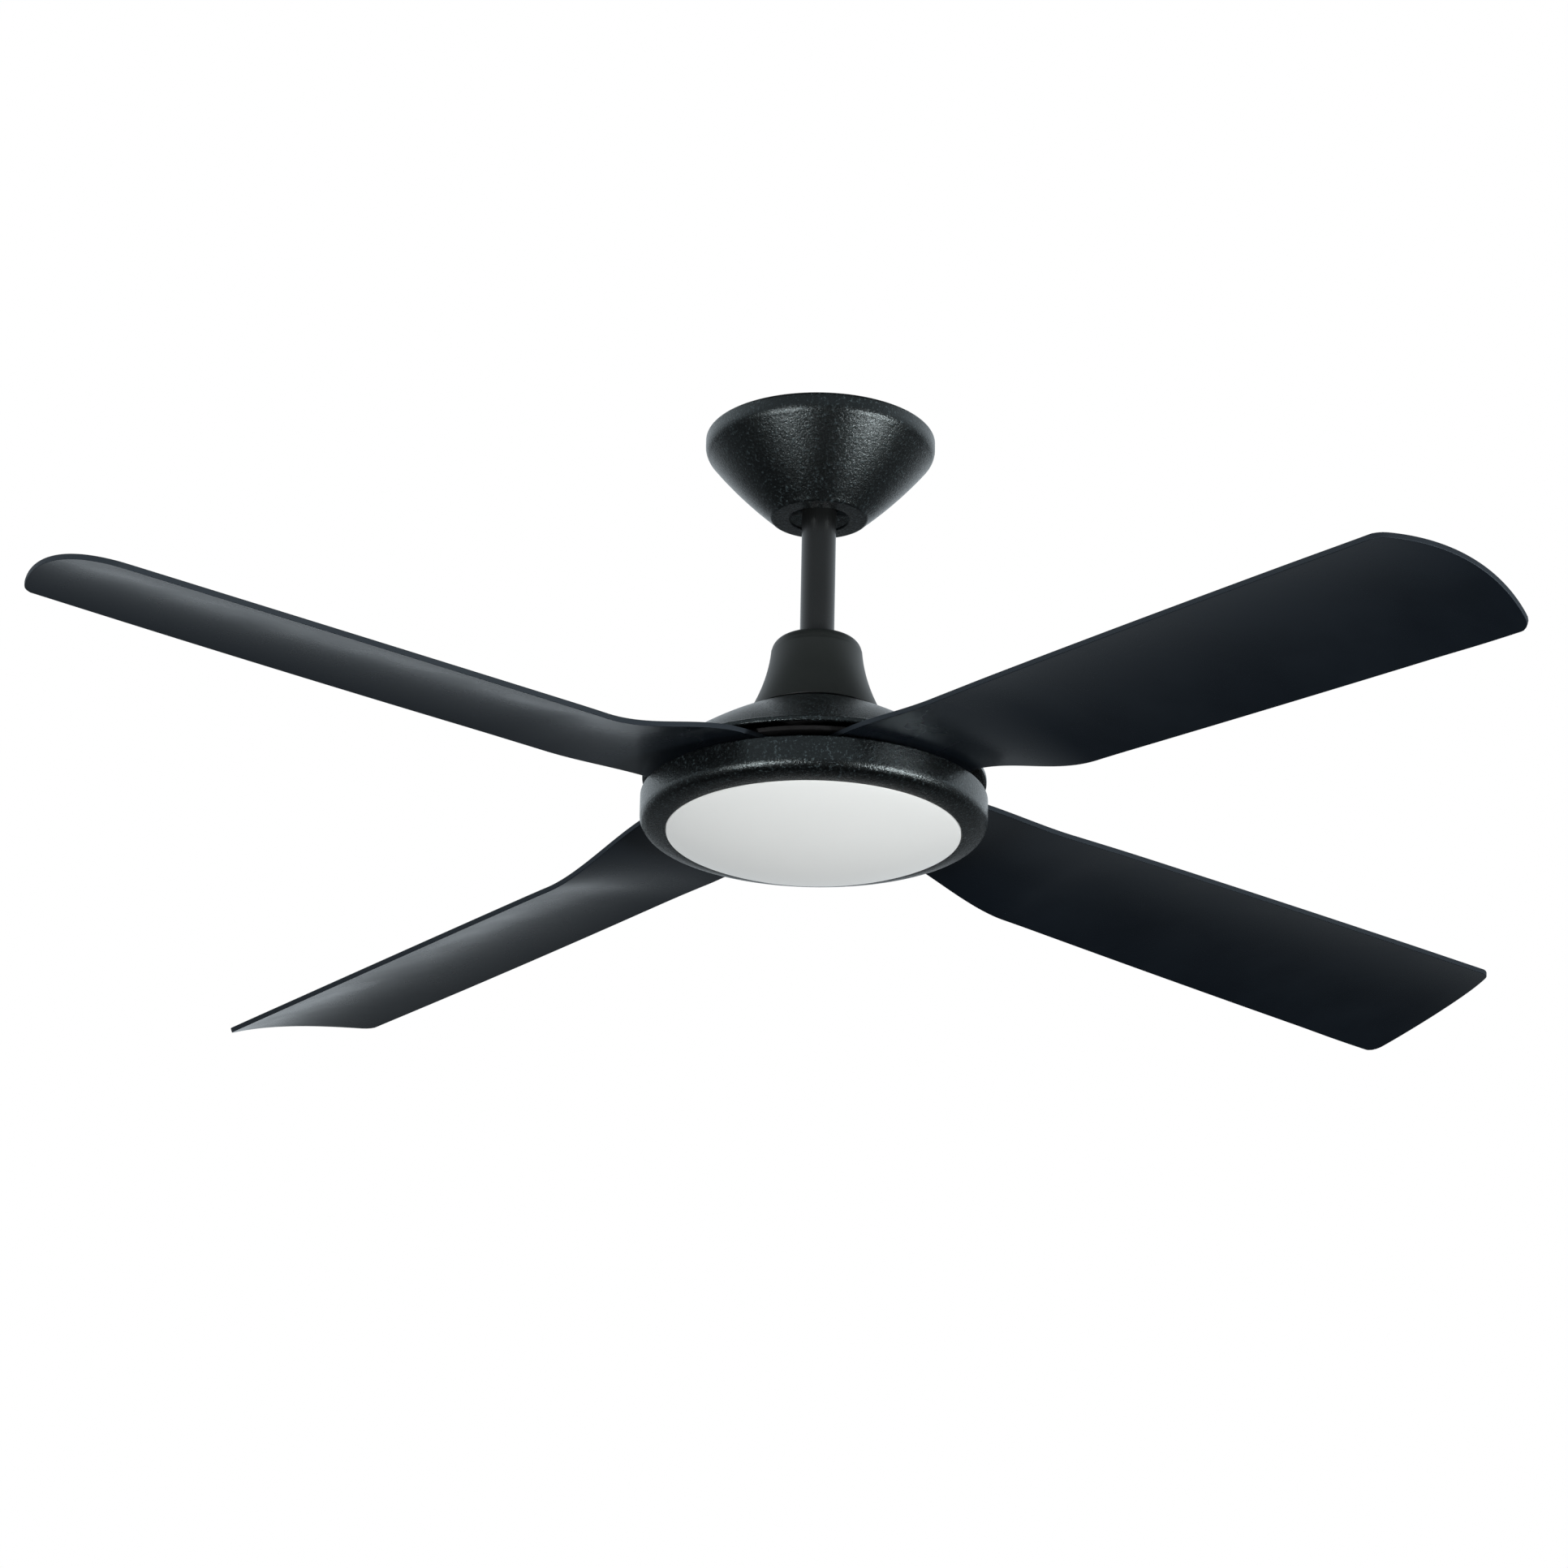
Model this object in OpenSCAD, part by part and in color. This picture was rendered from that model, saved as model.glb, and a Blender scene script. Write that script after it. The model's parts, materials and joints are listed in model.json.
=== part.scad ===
// Ceiling fan with four blades and a round LED light, hung on a short down rod.
// Units are millimetres. +Z points up. The origin is the centre of the ceiling face of the
// hanger bracket, so everything hangs below z = 0.

/* [Blades] */
// Sweep diameter, from blade tip to blade tip
sweep_d = 1300; // [1200:10:1400]
// Direction of the first blade, counted from +X towards +Y
blade_angle = 39.9; // [0:0.1:89.9]
// Chord of a blade at its tip
tip_chord = 133.6; // [124:0.2:138]
// Chord of a blade where it is screwed to the rotor
root_chord = 111.5; // [104:0.5:112]
// Rise of the leading edge at the tip above the trailing edge
tip_rise = 27.5; // [18:0.5:30]
// Height of the arch across a blade
camber = 8.6; // [4:0.2:12]

/* [Light] */
// Outer radius of the black ring around the light
ring_r = 124.8; // [121:0.1:126]
// Radius of the opal diffuser at its rim
diffuser_r = 105.6; // [105:0.1:105.8]
// Depth of the diffuser's dome below its rim
diffuser_sag = 22; // [16:1:28]

/* [Hanger] */
// Outer radius of the down rod
rod_r = 12.5; // [12:0.1:12.5]
// Largest radius of the ceiling canopy
canopy_r = 84.2; // [84:0.1:86]
// Distance between the centres of the two slotted ceiling holes
slot_spacing = 116; // [112:1:118]
// Half of the width of a slotted ceiling hole
slot_r = 3.25; // [2.5:0.05:3.5]
// Length of a slotted ceiling hole from end to end
slot_length = 20; // [14:1:22]

/* [Quality] */
// Segments of a full circle
segments = 96; // [48:8:144]

/* [Hidden] */
$fn = segments;
fit = 0.05;
sheet = 2;

// Heights of the levels that the pieces are stacked on
plate_t = 2.5;
canopy_bottom = -65;
ball_z = -34;
ball_r = 26;
ball_top = -17;
ball_bottom = -56;
hanger_pin_z = -24;
hanger_pin_r = 4;
cradle_top = -47;
rod_top = -18;
rod_bottom = -188;
rod_wall = 1.6;
collar_top = -166;
collar_r = 17;
yoke_pin_z = -178;
yoke_pin_r = 3;
shaft_top = -192;
bell_top = -161;
bell_shoulder = -170;
bell_bottom = -220.9;
crown_z = -217.3;
crown_r = 38;
housing_r = 123.8;
housing_rim_z = -267.8;
housing_bottom = -271.7;
flange_t = 4.6;
flange_top = crown_z - sheet - fit;
upper_bearing_z = -242;
lower_bearing_z = -278.5;
bearing_w = 11;
stator_bottom = -266;
stator_h = 15;
rotor_flange_top = -271;
rotor_flange_z = -274;
rotor_flange_r = 111;
blade_seat = rotor_flange_z - fit;
ring_top = -283.5;
ring_wall_end = -300;
ring_bottom = -310.6;
web_t = 1.8;
mount_top = ring_top - web_t - fit;
mount_t = 2;
nut_top = mount_top - mount_t - fit;
nut_t = 3;
shaft_bottom = nut_top - nut_t;
tray_top = -296;
tray_t = 1.5;
tray_r = 114;
led_top = tray_top - tray_t - fit;
led_t = 1.6;
led_r = 88;
diffuser_rim = -311;
diffuser_wall = 2;
collar_wall_top = -299;
clip_foot_top = -302.4;

// Radii of the motor, from the shaft outwards
shaft_r = 7.5;
shaft_bore = 5;
inner_race_r = 10.3;
outer_race_in = 14.7;
bearing_r = 17.5;
tooth_tip_r = 58.5;
magnet_in = 59.5;
magnet_out = 63;
steel_out = 67;
rotor_r = 74;
rotor_screw_r = 70.6;
teeth = 12;
magnet_count = 20;
balls = 8;

// Blade layout: x runs outwards along the blade, t across it, counter-clockwise positive
blades = 4;
tip_r = sweep_d / 2;
root_x = 80;
twist_start = 102;
twist_end = 238;
lead_end = 200;
lead_step = 5;
lead_fall = 5.5;
trail_turn_z = -305;
arch_length = 165;
edge_t_root = 4.4;
edge_t_lead = 3.4;
edge_t_trail = 4.2;
tip_arc_r = 140.5;
tip_arc_t = 6;
corner_power = 16;
// How far each blade's tip stands above its designed height, and how much more it is twisted
tip_lift = [3, -2, 7, -12.5];
tip_twist = [1.5, 5.5, 1, 0];
root_z = blade_seat - 2.25;
tip_x = tip_r - 17;
blade_screw_spots = [[97, 0], [88, 34], [88, -34]];
blade_screw_r = 2.4;

chord_steps = 10;

// Canopy screws and bracket
ear_x = 79.4;
ear_t = 2;
ear_z = -8;
arm_x = 35.5;
arm_w = 22;
cradle_w = 54;

arm_screw_z = -20;

// Places of the fan's own screws and pins
ball_screw_z = ball_z;
pin_seat = 33.4;
yoke_screw_z = -184;
shaft_screw_z = -206;
clip_y = 19.4;
flange_screw_r = 26;
plate_screw_r = 32;
led_screw_r = 80;
board_screw_x = 26;
board_screw_y = 15;

// Routes of the two cable runs, point by point
supply_r = 2.2;
supply_route = [[41, 15.5, -18], [40.4, 18.5, -17.4], [37, 20.8, -15.4], [31, 20.6, -12.4],
                [24, 17.6, -10.2], [17, 12, -9.3], [11.4, 5.6, -9.8], [8.4, 1.8, -12.2],
                [7.2, 0.2, -16.5], [7, 0, -22], [7, 0, -28], [7, 0, -33.5]];
harness_r = 2.2;
harness_route = [[7, 0, -34.5], [7, 0, -60], [7, 0, -100], [7, 0, -140], [7, 0, -170],
                 [6.8, 0, -183], [4, 0, -189.5], [1, 0, -196], [0, 0, -204], [0, 0, -240],
                 [0, 0, -275], [0, 0, -286.5], [0, 0.8, -289.8], [0, 3.4, -292.4],
                 [0, 8, -293.2], [0, 26, -293.2], [0, 38, -292.6], [0, 43.5, -291.6]];

// ---------- helpers ----------

function mix(a, b, f) = a + (b - a) * f;
function clamp01(v) = max(0, min(1, v));
function ease(v) = let (c = clamp01(v)) c * c * (3 - 2 * c);

// Points from p to q that bow sideways by sag at the middle
function bow(p, q, sag, n) = let (d = q - p, side = [d[1], -d[0]] / norm(d))
    [for (i = [0:n]) let (f = i / n) p + d * f + side * sag * 4 * f * (1 - f)];

// Points on a circle's arc from angle a0 to a1
function arc(centre, r, a0, a1, n) =
    [for (i = [0:n]) centre + r * [cos(mix(a0, a1, i / n)), sin(mix(a0, a1, i / n))]];

function reversed(list) = [for (i = [len(list) - 1:-1:0]) list[i]];

// A round wire along a route, with one ring of points at each route point
module wire(route, r, sides = 8) {
    last = len(route) - 1;
    rings = [for (i = [0:last])
        let (ahead = route[min(i + 1, last)] - route[max(i - 1, 0)],
             along = ahead / norm(ahead),
             guide = abs(along[1]) > 0.7 ? [1, 0, 0] : [0, 1, 0],
             u = cross(along, guide) / norm(cross(along, guide)),
             v = cross(along, u))
        [for (k = [0:sides - 1])
            route[i] + r * (u * cos(k * 360 / sides) + v * sin(k * 360 / sides))]];
    points = [for (ring = rings) for (p = ring) p];
    walls = [for (i = [0:last - 1]) for (k = [0:sides - 1])
        let (n = (k + 1) % sides)
        [i * sides + k, (i + 1) * sides + k, (i + 1) * sides + n, i * sides + n]];
    first_cap = [for (k = [0:sides - 1]) k];
    last_cap = [for (k = [sides - 1:-1:0]) last * sides + k];
    polyhedron(points, concat([first_cap], walls, [last_cap]));
}

module ring_of(count, r, start = 0) {
    for (i = [0:count - 1])
        rotate([0, 0, start + i * 360 / count]) translate([r, 0, 0]) children();
}

module tube(r_out, r_in, z_low, z_high) {
    difference() {
        translate([0, 0, z_low]) cylinder(r = r_out, h = z_high - z_low);
        translate([0, 0, z_low - 1]) cylinder(r = r_in, h = z_high - z_low + 2);
    }
}

// A screw that points up: shank from z = 0 to z = length, pan head below
module screw_up(r, length, head_r, head_h) {
    cylinder(r = r, h = length, $fn = 24);
    translate([0, 0, -head_h]) difference() {
        cylinder(r = head_r, h = head_h, $fn = 32);
        for (turn = [0, 90])
            rotate([0, 0, turn]) translate([-head_r * 0.55, -0.4, -1])
                cube([head_r * 1.1, 0.8, 1 + head_h * 0.45]);
    }
}

module screw_down(r, length, head_r, head_h) {
    mirror([0, 0, 1]) screw_up(r, length, head_r, head_h);
}

// ---------- ceiling side ----------

module slot_cut() {
    reach = slot_length / 2 - slot_r;
    translate([0, 0, -plate_t - 1]) linear_extrude(plate_t + 2) {
        translate([-reach, 0]) circle(r = slot_r, $fn = 32);
        translate([reach, 0]) circle(r = slot_r, $fn = 32);
        translate([-reach, -slot_r]) square([2 * reach, 2 * slot_r]);
    }
}

module bracket_plate() {
    end_w = 18;
    middle_w = 36;
    half_mid = slot_spacing / 2 + 12;
    difference() {
        translate([0, 0, -plate_t]) linear_extrude(plate_t)
            polygon([[-ear_x, -end_w / 2], [-half_mid, -middle_w / 2], [half_mid, -middle_w / 2],
                     [ear_x, -end_w / 2], [ear_x, end_w / 2], [half_mid, middle_w / 2],
                     [-half_mid, middle_w / 2], [-ear_x, end_w / 2]]);
        translate([0, 0, -plate_t - 1]) cylinder(r = 13, h = plate_t + 2);
        for (side = [-1, 1])
            translate([side * slot_spacing / 2, 0, 0]) slot_cut();
    }
}

module bracket_ear() {
    ear_h = 12;
    difference() {
        translate([ear_x - ear_t, -9, -ear_h]) cube([ear_t, 18, ear_h - 0.5]);
        translate([ear_x - ear_t - 1, 0, ear_z]) rotate([0, 90, 0])
            cylinder(r = 2.05, h = ear_t + 2, $fn = 32);
    }
}

module bracket_arm() {
    difference() {
        translate([arm_x - plate_t, -arm_w / 2, cradle_top - plate_t])
            cube([plate_t, arm_w, -cradle_top + plate_t - 0.5]);
        translate([arm_x - plate_t - 1, 0, arm_screw_z]) rotate([0, 90, 0])
            cylinder(r = 2.05, h = plate_t + 2, $fn = 32);
    }
}

module cradle() {
    seat_r = 22.9;
    gate_w = 27.6;
    difference() {
        translate([-arm_x, -cradle_w / 2, cradle_top - plate_t])
            cube([2 * arm_x, cradle_w, plate_t]);
        translate([0, 0, cradle_top - plate_t - 1]) cylinder(r = seat_r, h = plate_t + 2);
        translate([-gate_w / 2, -cradle_w, cradle_top - plate_t - 1])
            cube([gate_w, cradle_w, plate_t + 2]);
    }
    // Key that stops the ball from turning about the rod
    translate([-2.5, 21.2, cradle_top - 0.5]) cube([5, 5, 6]);
    translate([-2.5, 22.7, cradle_top - plate_t]) cube([5, 3.5, plate_t]);
}

module ceiling_bracket() {
    color("silver") {
        bracket_plate();
        for (turn = [0, 180]) rotate([0, 0, turn]) {
            bracket_ear();
            bracket_arm();
        }
        cradle();
    }
}

// Outer outline of the canopy, from its top edge down to the hole around the rod
canopy_hole = 22.2;
canopy_wall = 1.6;
canopy_turn = 11;
canopy_bow = -1.3;
canopy_outer = concat(
    [[canopy_r - 3.7, -0.5]],
    arc([canopy_r - 3, -3.5], 3, 90, 0, 5),
    arc([canopy_r - canopy_turn, -8.5], canopy_turn, 0, -43, 5),
    bow([canopy_r - 4.8, -18.4], [36.4, canopy_bottom + 1.6], canopy_bow, 12),
    [[33.8, canopy_bottom], [canopy_hole, canopy_bottom]]);
canopy_inner = concat(
    [[canopy_hole, canopy_bottom + canopy_wall], [33.2, canopy_bottom + canopy_wall]],
    reversed(bow([canopy_r - 6, -17.3], [35.3, canopy_bottom + 2.8], canopy_bow, 12)),
    arc([canopy_r - canopy_turn, -8.5], canopy_turn - canopy_wall, -41, 0, 5));

module canopy() {
    color([0.11, 0.13, 0.14]) difference() {
        rotate_extrude() polygon(concat(canopy_outer, canopy_inner));
        for (turn = [0, 180]) rotate([0, 0, turn])
            translate([canopy_r - 2.2, 0, ear_z]) rotate([0, 90, 0])
                cylinder(r1 = 2, r2 = 3.9, h = 2.5, $fn = 32);
    }
}

module canopy_screws() {
    head_x = canopy_r - 0.25;
    color([0.15, 0.16, 0.17]) for (turn = [0, 180]) rotate([0, 0, turn])
        translate([0, 0, ear_z]) rotate([0, 90, 0]) {
            translate([0, 0, ear_x - 8]) cylinder(r = 2, h = head_x - 1.6 - ear_x + 8, $fn = 32);
            translate([0, 0, head_x - 1.6]) cylinder(r1 = 2, r2 = 3.3, h = 1.6, $fn = 32);
        }
}

block_x = arm_x + 0.1;
block_depth = 11;
terminal_screw_z = [-24.4, -11.6];
module terminal_block() {
    color("ivory") difference() {
        translate([block_x, -15, -28]) cube([block_depth, 30, 20]);
        for (y = [-10, 0, 10]) {
            translate([block_x + 5.5, y, -29]) cylinder(r = 2.3, h = 9, $fn = 32);
            translate([block_x + 5.5, y, -16]) cylinder(r = 2.3, h = 9, $fn = 32);
            for (z = terminal_screw_z) translate([block_x + 8.2, y, z]) rotate([0, 90, 0])
                cylinder(r = 1.45, h = 4, $fn = 32);
        }
    }
}

module terminal_screws() {
    color("goldenrod") for (y = [-10, 0, 10]) for (z = terminal_screw_z)
        translate([block_x + block_depth + fit, y, z]) rotate([0, 90, 0])
            screw_down(1.4, 2.6, 2.2, 1.2);
}

module earth_screw() {
    color("gold") translate([-arm_x - fit, 0, arm_screw_z]) rotate([0, 90, 0])
        screw_up(2, 6, 3.6, 2.2);
}

module supply_leads() {
    color("dimgray") wire(supply_route, supply_r);
}

// ---------- hanging side ----------

module hanger_ball() {
    slot_w = 6;
    slot_floor = 17;
    color([0.2, 0.2, 0.2]) difference() {
        intersection() {
            translate([0, 0, ball_z]) sphere(r = ball_r);
            translate([-50, -50, ball_bottom]) cube([100, 100, ball_top - ball_bottom]);
        }
        translate([0, 0, ball_bottom - 1]) cylinder(r = rod_r + fit, h = 60);
        translate([0, 0, hanger_pin_z]) rotate([90, 0, 0])
            cylinder(r = hanger_pin_r + fit, h = pin_seat, center = true);
        translate([-hanger_pin_r - fit, -pin_seat / 2, hanger_pin_z])
            cube([2 * (hanger_pin_r + fit), pin_seat, 10]);
        translate([-slot_w / 2, slot_floor, ball_bottom - 1]) cube([slot_w, 20, 60]);
        translate([0, 0, ball_screw_z]) rotate([0, -90, 0]) cylinder(r = 2.55, h = 30, $fn = 32);
    }
}

module hanger_pin() {
    color("silver") translate([0, 0, hanger_pin_z]) rotate([90, 0, 0])
        cylinder(r = hanger_pin_r, h = pin_seat - 0.4, center = true);
}

module ball_set_screw() {
    color("silver") translate([-rod_r - fit, 0, ball_screw_z]) rotate([0, -90, 0]) difference() {
        cylinder(r = 2.5, h = 9, $fn = 32);
        translate([0, 0, 6]) cylinder(r = 1.3, h = 4, $fn = 6);
    }
}

module downrod() {
    color([0.09, 0.1, 0.1]) difference() {
        tube(rod_r, rod_r - rod_wall, rod_bottom, rod_top);
        translate([0, 0, hanger_pin_z]) rotate([90, 0, 0])
            cylinder(r = hanger_pin_r + fit, h = 40, center = true, $fn = 48);
        translate([0, 0, yoke_pin_z]) rotate([90, 0, 0])
            cylinder(r = yoke_pin_r + fit, h = 40, center = true, $fn = 48);
    }
}

module yoke() {
    flange_r = 34;
    color("dimgray") difference() {
        union() {
            translate([0, 0, flange_top - 1]) cylinder(r = collar_r, h = collar_top - flange_top + 1);
            translate([0, 0, flange_top - flange_t]) cylinder(r = flange_r, h = flange_t);
        }
        translate([0, 0, rod_bottom]) cylinder(r = rod_r + fit, h = 60);
        translate([0, 0, shaft_top]) cylinder(r = 8, h = 10);
        translate([0, 0, flange_top - flange_t - 1]) cylinder(r = shaft_r + fit, h = 60);
        translate([0, 0, yoke_pin_z]) rotate([90, 0, 0])
            cylinder(r = yoke_pin_r + fit, h = 60, center = true, $fn = 48);
        translate([0, 0, yoke_screw_z]) rotate([0, 90, 0])
            cylinder(r = 2.55, h = 60, center = true, $fn = 48);
        translate([0, 0, shaft_screw_z]) rotate([90, 0, 0])
            cylinder(r = 2.55, h = 60, center = true, $fn = 48);
        ring_of(4, flange_screw_r, 45) translate([0, 0, flange_top - flange_t - 1])
            cylinder(r = 2.05, h = flange_t + 2, $fn = 32);
    }
}

module yoke_pin() {
    color("silver") difference() {
        translate([0, 0, yoke_pin_z]) rotate([90, 0, 0]) {
            translate([0, 0, -22]) cylinder(r = yoke_pin_r, h = 39.2, $fn = 48);
            translate([0, 0, collar_r + 0.2]) cylinder(r = 5, h = 2, $fn = 48);
        }
        translate([0, clip_y, yoke_pin_z - 10]) cylinder(r = 1, h = 20, $fn = 24);
    }
}

module pin_clip() {
    wire_r = 0.85;
    color("silver") translate([0, clip_y, yoke_pin_z]) {
        translate([0, 0, -7]) cylinder(r = wire_r, h = 13, $fn = 24);
        translate([4.4, 0, -5]) cylinder(r = wire_r, h = 11, $fn = 24);
        translate([2.2, 0, 6]) rotate([90, 0, 0])
            rotate_extrude(angle = 180, $fn = 48) translate([2.2, 0]) circle(r = wire_r, $fn = 24);
    }
}

module yoke_set_screws() {
    color("silver") {
        for (turn = [0, 180]) rotate([0, 0, turn]) {
            translate([rod_r + fit, 0, yoke_screw_z]) rotate([0, 90, 0]) {
                cylinder(r = 2.5, h = 5, $fn = 32);
                translate([0, 0, collar_r - rod_r + 0.1]) cylinder(r = 4.6, h = 3.4, $fn = 6);
            }
            translate([0, shaft_r + fit, shaft_screw_z]) rotate([-90, 0, 0]) difference() {
                cylinder(r = 2.5, h = 8, $fn = 32);
                translate([0, 0, 5]) cylinder(r = 1.3, h = 4, $fn = 6);
            }
        }
    }
}

// Radius of the coupling cover, which flares out as it goes down
bell_neck = 33;
function bell_radius(z, inset) =
    let (s = bell_shoulder - z) bell_neck - inset + 0.085 * s + 0.0045 * s * s;
bell_steps = 12;
bell_flare = [for (i = [0:bell_steps]) mix(bell_shoulder, bell_bottom, i / bell_steps)];
bell_hole = rod_r + 0.9;

module coupling_cover() {
    shoulder_r = 10.5;
    wall = 2;
    color([0.15, 0.165, 0.16]) rotate_extrude() polygon(concat(
        [[bell_hole, bell_top - wall], [bell_hole, bell_top + 0.3], [21, bell_top]],
        arc([bell_neck - shoulder_r, bell_shoulder - 1.4], shoulder_r, 90, 8, 7),
        [for (z = bell_flare) [bell_radius(z, 0), z]],
        [for (z = reversed(bell_flare)) [bell_radius(z, wall), z]],
        arc([bell_neck - shoulder_r, bell_shoulder - 1.4], shoulder_r - wall, 8, 90, 7)));
}

// Height of the dome's outer surface at radius r
function dome_z(r) = let (s = r - 46) -220.5 - 0.42 * s - 0.0026 * s * s;
dome_steps = 12;
dome_radii = [for (i = [0:dome_steps]) mix(crown_r, housing_r - 0.5, i / dome_steps)];

module top_housing() {
    skin = 2.3;
    color([0.13, 0.14, 0.14]) difference() {
        rotate_extrude() polygon(concat(
            [[collar_r + 0.3, crown_z], [crown_r - 1, crown_z]],
            [for (r = dome_radii) [r, dome_z(r)]],
            [[housing_r, housing_rim_z - 0.4], [housing_r, housing_bottom],
             [housing_r - sheet, housing_bottom], [housing_r - sheet, housing_rim_z - 1]],
            [for (r = reversed(dome_radii)) [r - 1, dome_z(r) - skin + 0.3]],
            [[collar_r + 0.3, crown_z - sheet]]));
        ring_of(4, flange_screw_r, 45) translate([0, 0, crown_z - 10]) cylinder(r = 2.2, h = 12, $fn = 32);
    }
}

module housing_screws() {
    color("silver") ring_of(4, flange_screw_r, 45) translate([0, 0, crown_z + fit])
        screw_down(2, 6.4, 4, 2.4);
}

module motor_shaft() {
    color("silver") difference() {
        union() {
            translate([0, 0, shaft_bottom]) cylinder(r = shaft_r, h = shaft_top - shaft_bottom);
            translate([0, 0, ring_top + fit]) cylinder(r = 11, h = 2.4);
        }
        translate([0, 0, shaft_bottom - 1]) cylinder(r = shaft_bore, h = 120);
    }
}

module stator_core() {
    tooth_w = 10;
    hub_r = 33;
    color("slategray") translate([0, 0, stator_bottom]) difference() {
        union() {
            cylinder(r = hub_r, h = stator_h);
            ring_of(teeth, 0) translate([hub_r - 2, -tooth_w / 2, 0])
                cube([tooth_tip_r - hub_r - 0.5, tooth_w, stator_h]);
            for (i = [0:teeth - 1]) rotate([0, 0, i * 360 / teeth - 12])
                rotate_extrude(angle = 24) translate([55, 0])
                    square([tooth_tip_r - 55, stator_h]);
        }
        translate([0, 0, -1]) cylinder(r = shaft_r + fit, h = stator_h + 2);
    }
}

module windings() {
    coil_w = 17.2;
    gap_w = 10.4;
    over = 3.3;
    color("chocolate") ring_of(teeth, 0) translate([36, 0, stator_bottom]) difference() {
        translate([0, -coil_w / 2, -over]) cube([16, coil_w, stator_h + 2 * over]);
        translate([-1, -gap_w / 2, -0.2]) cube([18, gap_w, stator_h + 0.4]);
    }
}

bearing_floors = [upper_bearing_z, lower_bearing_z];
module bearing_inner_races() {
    color("silver") for (z = bearing_floors)
        tube(inner_race_r, shaft_r + fit, z, z + bearing_w);
}

module light_mount_plate() {
    plate_r = 40;
    color("silver") difference() {
        tube(plate_r, shaft_r + fit, mount_top - mount_t, mount_top);
        ring_of(3, plate_screw_r, 30) translate([0, 0, mount_top - mount_t - 1])
            cylinder(r = 2.05, h = mount_t + 2, $fn = 32);
    }
}

module lock_washer() {
    color("gray") translate([0, 0, nut_top - 0.8]) difference() {
        cylinder(r = 12, h = 0.8);
        translate([0, 0, -1]) cylinder(r = shaft_r + fit, h = 3);
        translate([7, -0.7, -1]) cube([6, 1.4, 3]);
    }
}

module shaft_nut() {
    color("silver") translate([0, 0, shaft_bottom]) difference() {
        cylinder(r = 13, h = nut_t - 0.8 - fit, $fn = 6);
        translate([0, 0, -1]) cylinder(r = shaft_r + fit, h = nut_t + 2);
    }
}

module plate_screws() {
    color("silver") ring_of(3, plate_screw_r, 30) translate([0, 0, mount_top - mount_t - fit])
        screw_up(2, 5, 3.8, 2);
}

// Outline of the black ring around the light: top web, wall, rounded shoulder, bottom lip
lip_r = diffuser_r + 0.6;
shoulder_r = 8;
ring_boss_r = 110;
module light_ring() {
    color([0.11, 0.13, 0.14]) {
        difference() {
            rotate_extrude() polygon(concat(
                [[shaft_r + fit, ring_top - web_t], [shaft_r + fit, ring_top],
                 [ring_r - 1, ring_top], [ring_r, ring_top - 1]],
                arc([ring_r - shoulder_r, ring_wall_end], shoulder_r, 0, -72, 7),
                [[lip_r + 0.4, ring_bottom + 0.05], [lip_r, ring_bottom + 0.5],
                 [lip_r, ring_bottom + 2]],
                arc([ring_r - shoulder_r, ring_wall_end], shoulder_r - sheet, -72, 0, 7),
                [[ring_r - sheet, ring_top - web_t]]));
            ring_of(3, plate_screw_r, 30) translate([0, 0, ring_top - web_t - 1])
                cylinder(r = 2.05, h = web_t + 2, $fn = 32);
        }
        ring_of(4, ring_boss_r, 0) tray_boss();
    }
}

module tray_boss() {
    difference() {
        translate([0, 0, tray_top + fit]) cylinder(r = 4.5, h = ring_top - web_t - tray_top, $fn = 32);
        translate([0, 0, tray_top - 1]) cylinder(r = 1.55, h = 10, $fn = 32);
    }
}

module at_board_screws() {
    for (x = [-board_screw_x, board_screw_x]) for (y = [-board_screw_y, board_screw_y])
        translate([x, board_y + y, 0]) children();
}

module led_tray() {
    color("gainsboro") difference() {
        union() {
            translate([0, 0, tray_top - tray_t]) cylinder(r = tray_r, h = tray_t);
            at_board_screws() translate([0, 0, tray_top - 0.2]) cylinder(r = 3.2, h = 1.55, $fn = 32);
        }
        at_board_screws() translate([0, 0, tray_top - tray_t - 1]) cylinder(r = 1.55, h = 6, $fn = 32);
        ring_of(4, ring_boss_r, 0) translate([0, 0, tray_top - tray_t - 1])
            cylinder(r = 1.7, h = tray_t + 2, $fn = 32);
        ring_of(3, led_screw_r, 10) translate([0, 0, tray_top - tray_t - 1])
            cylinder(r = 1.55, h = tray_t + 2, $fn = 32);
    }
}

module tray_screws() {
    color("silver") ring_of(4, ring_boss_r, 0) translate([0, 0, tray_top - tray_t - fit])
        screw_up(1.5, 7, 3, 1.8);
}

module led_board() {
    color("white") difference() {
        translate([0, 0, led_top - led_t]) cylinder(r = led_r, h = led_t);
        ring_of(3, led_screw_r, 10) translate([0, 0, led_top - led_t - 1])
            cylinder(r = 1.7, h = led_t + 2, $fn = 32);
    }
}

// LEDs sit on three circles: each pair is a radius and a count
led_circles = [[26, 8], [50, 14], [70, 20]];
module led_chips() {
    chip = 3.2;
    color("khaki") for (row = led_circles) ring_of(row[1], row[0])
        translate([-chip / 2, -chip / 2, led_top - led_t - 0.75]) cube([chip, chip, 0.7]);
}

module led_board_screws() {
    color("silver") ring_of(3, led_screw_r, 10) translate([0, 0, led_top - led_t - fit])
        screw_up(1.5, 3, 2.8, 1.5);
}

driver_h = 8.6;
board_y = 64;
module led_driver() {
    color("whitesmoke") translate([-31, -board_y - 19, tray_top + 0.3]) {
        cube([62, 38, driver_h]);
        translate([-5, 13, 0]) cube([5, 12, 2]);
        translate([62, 13, 0]) cube([5, 12, 2]);
    }
}

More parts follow.
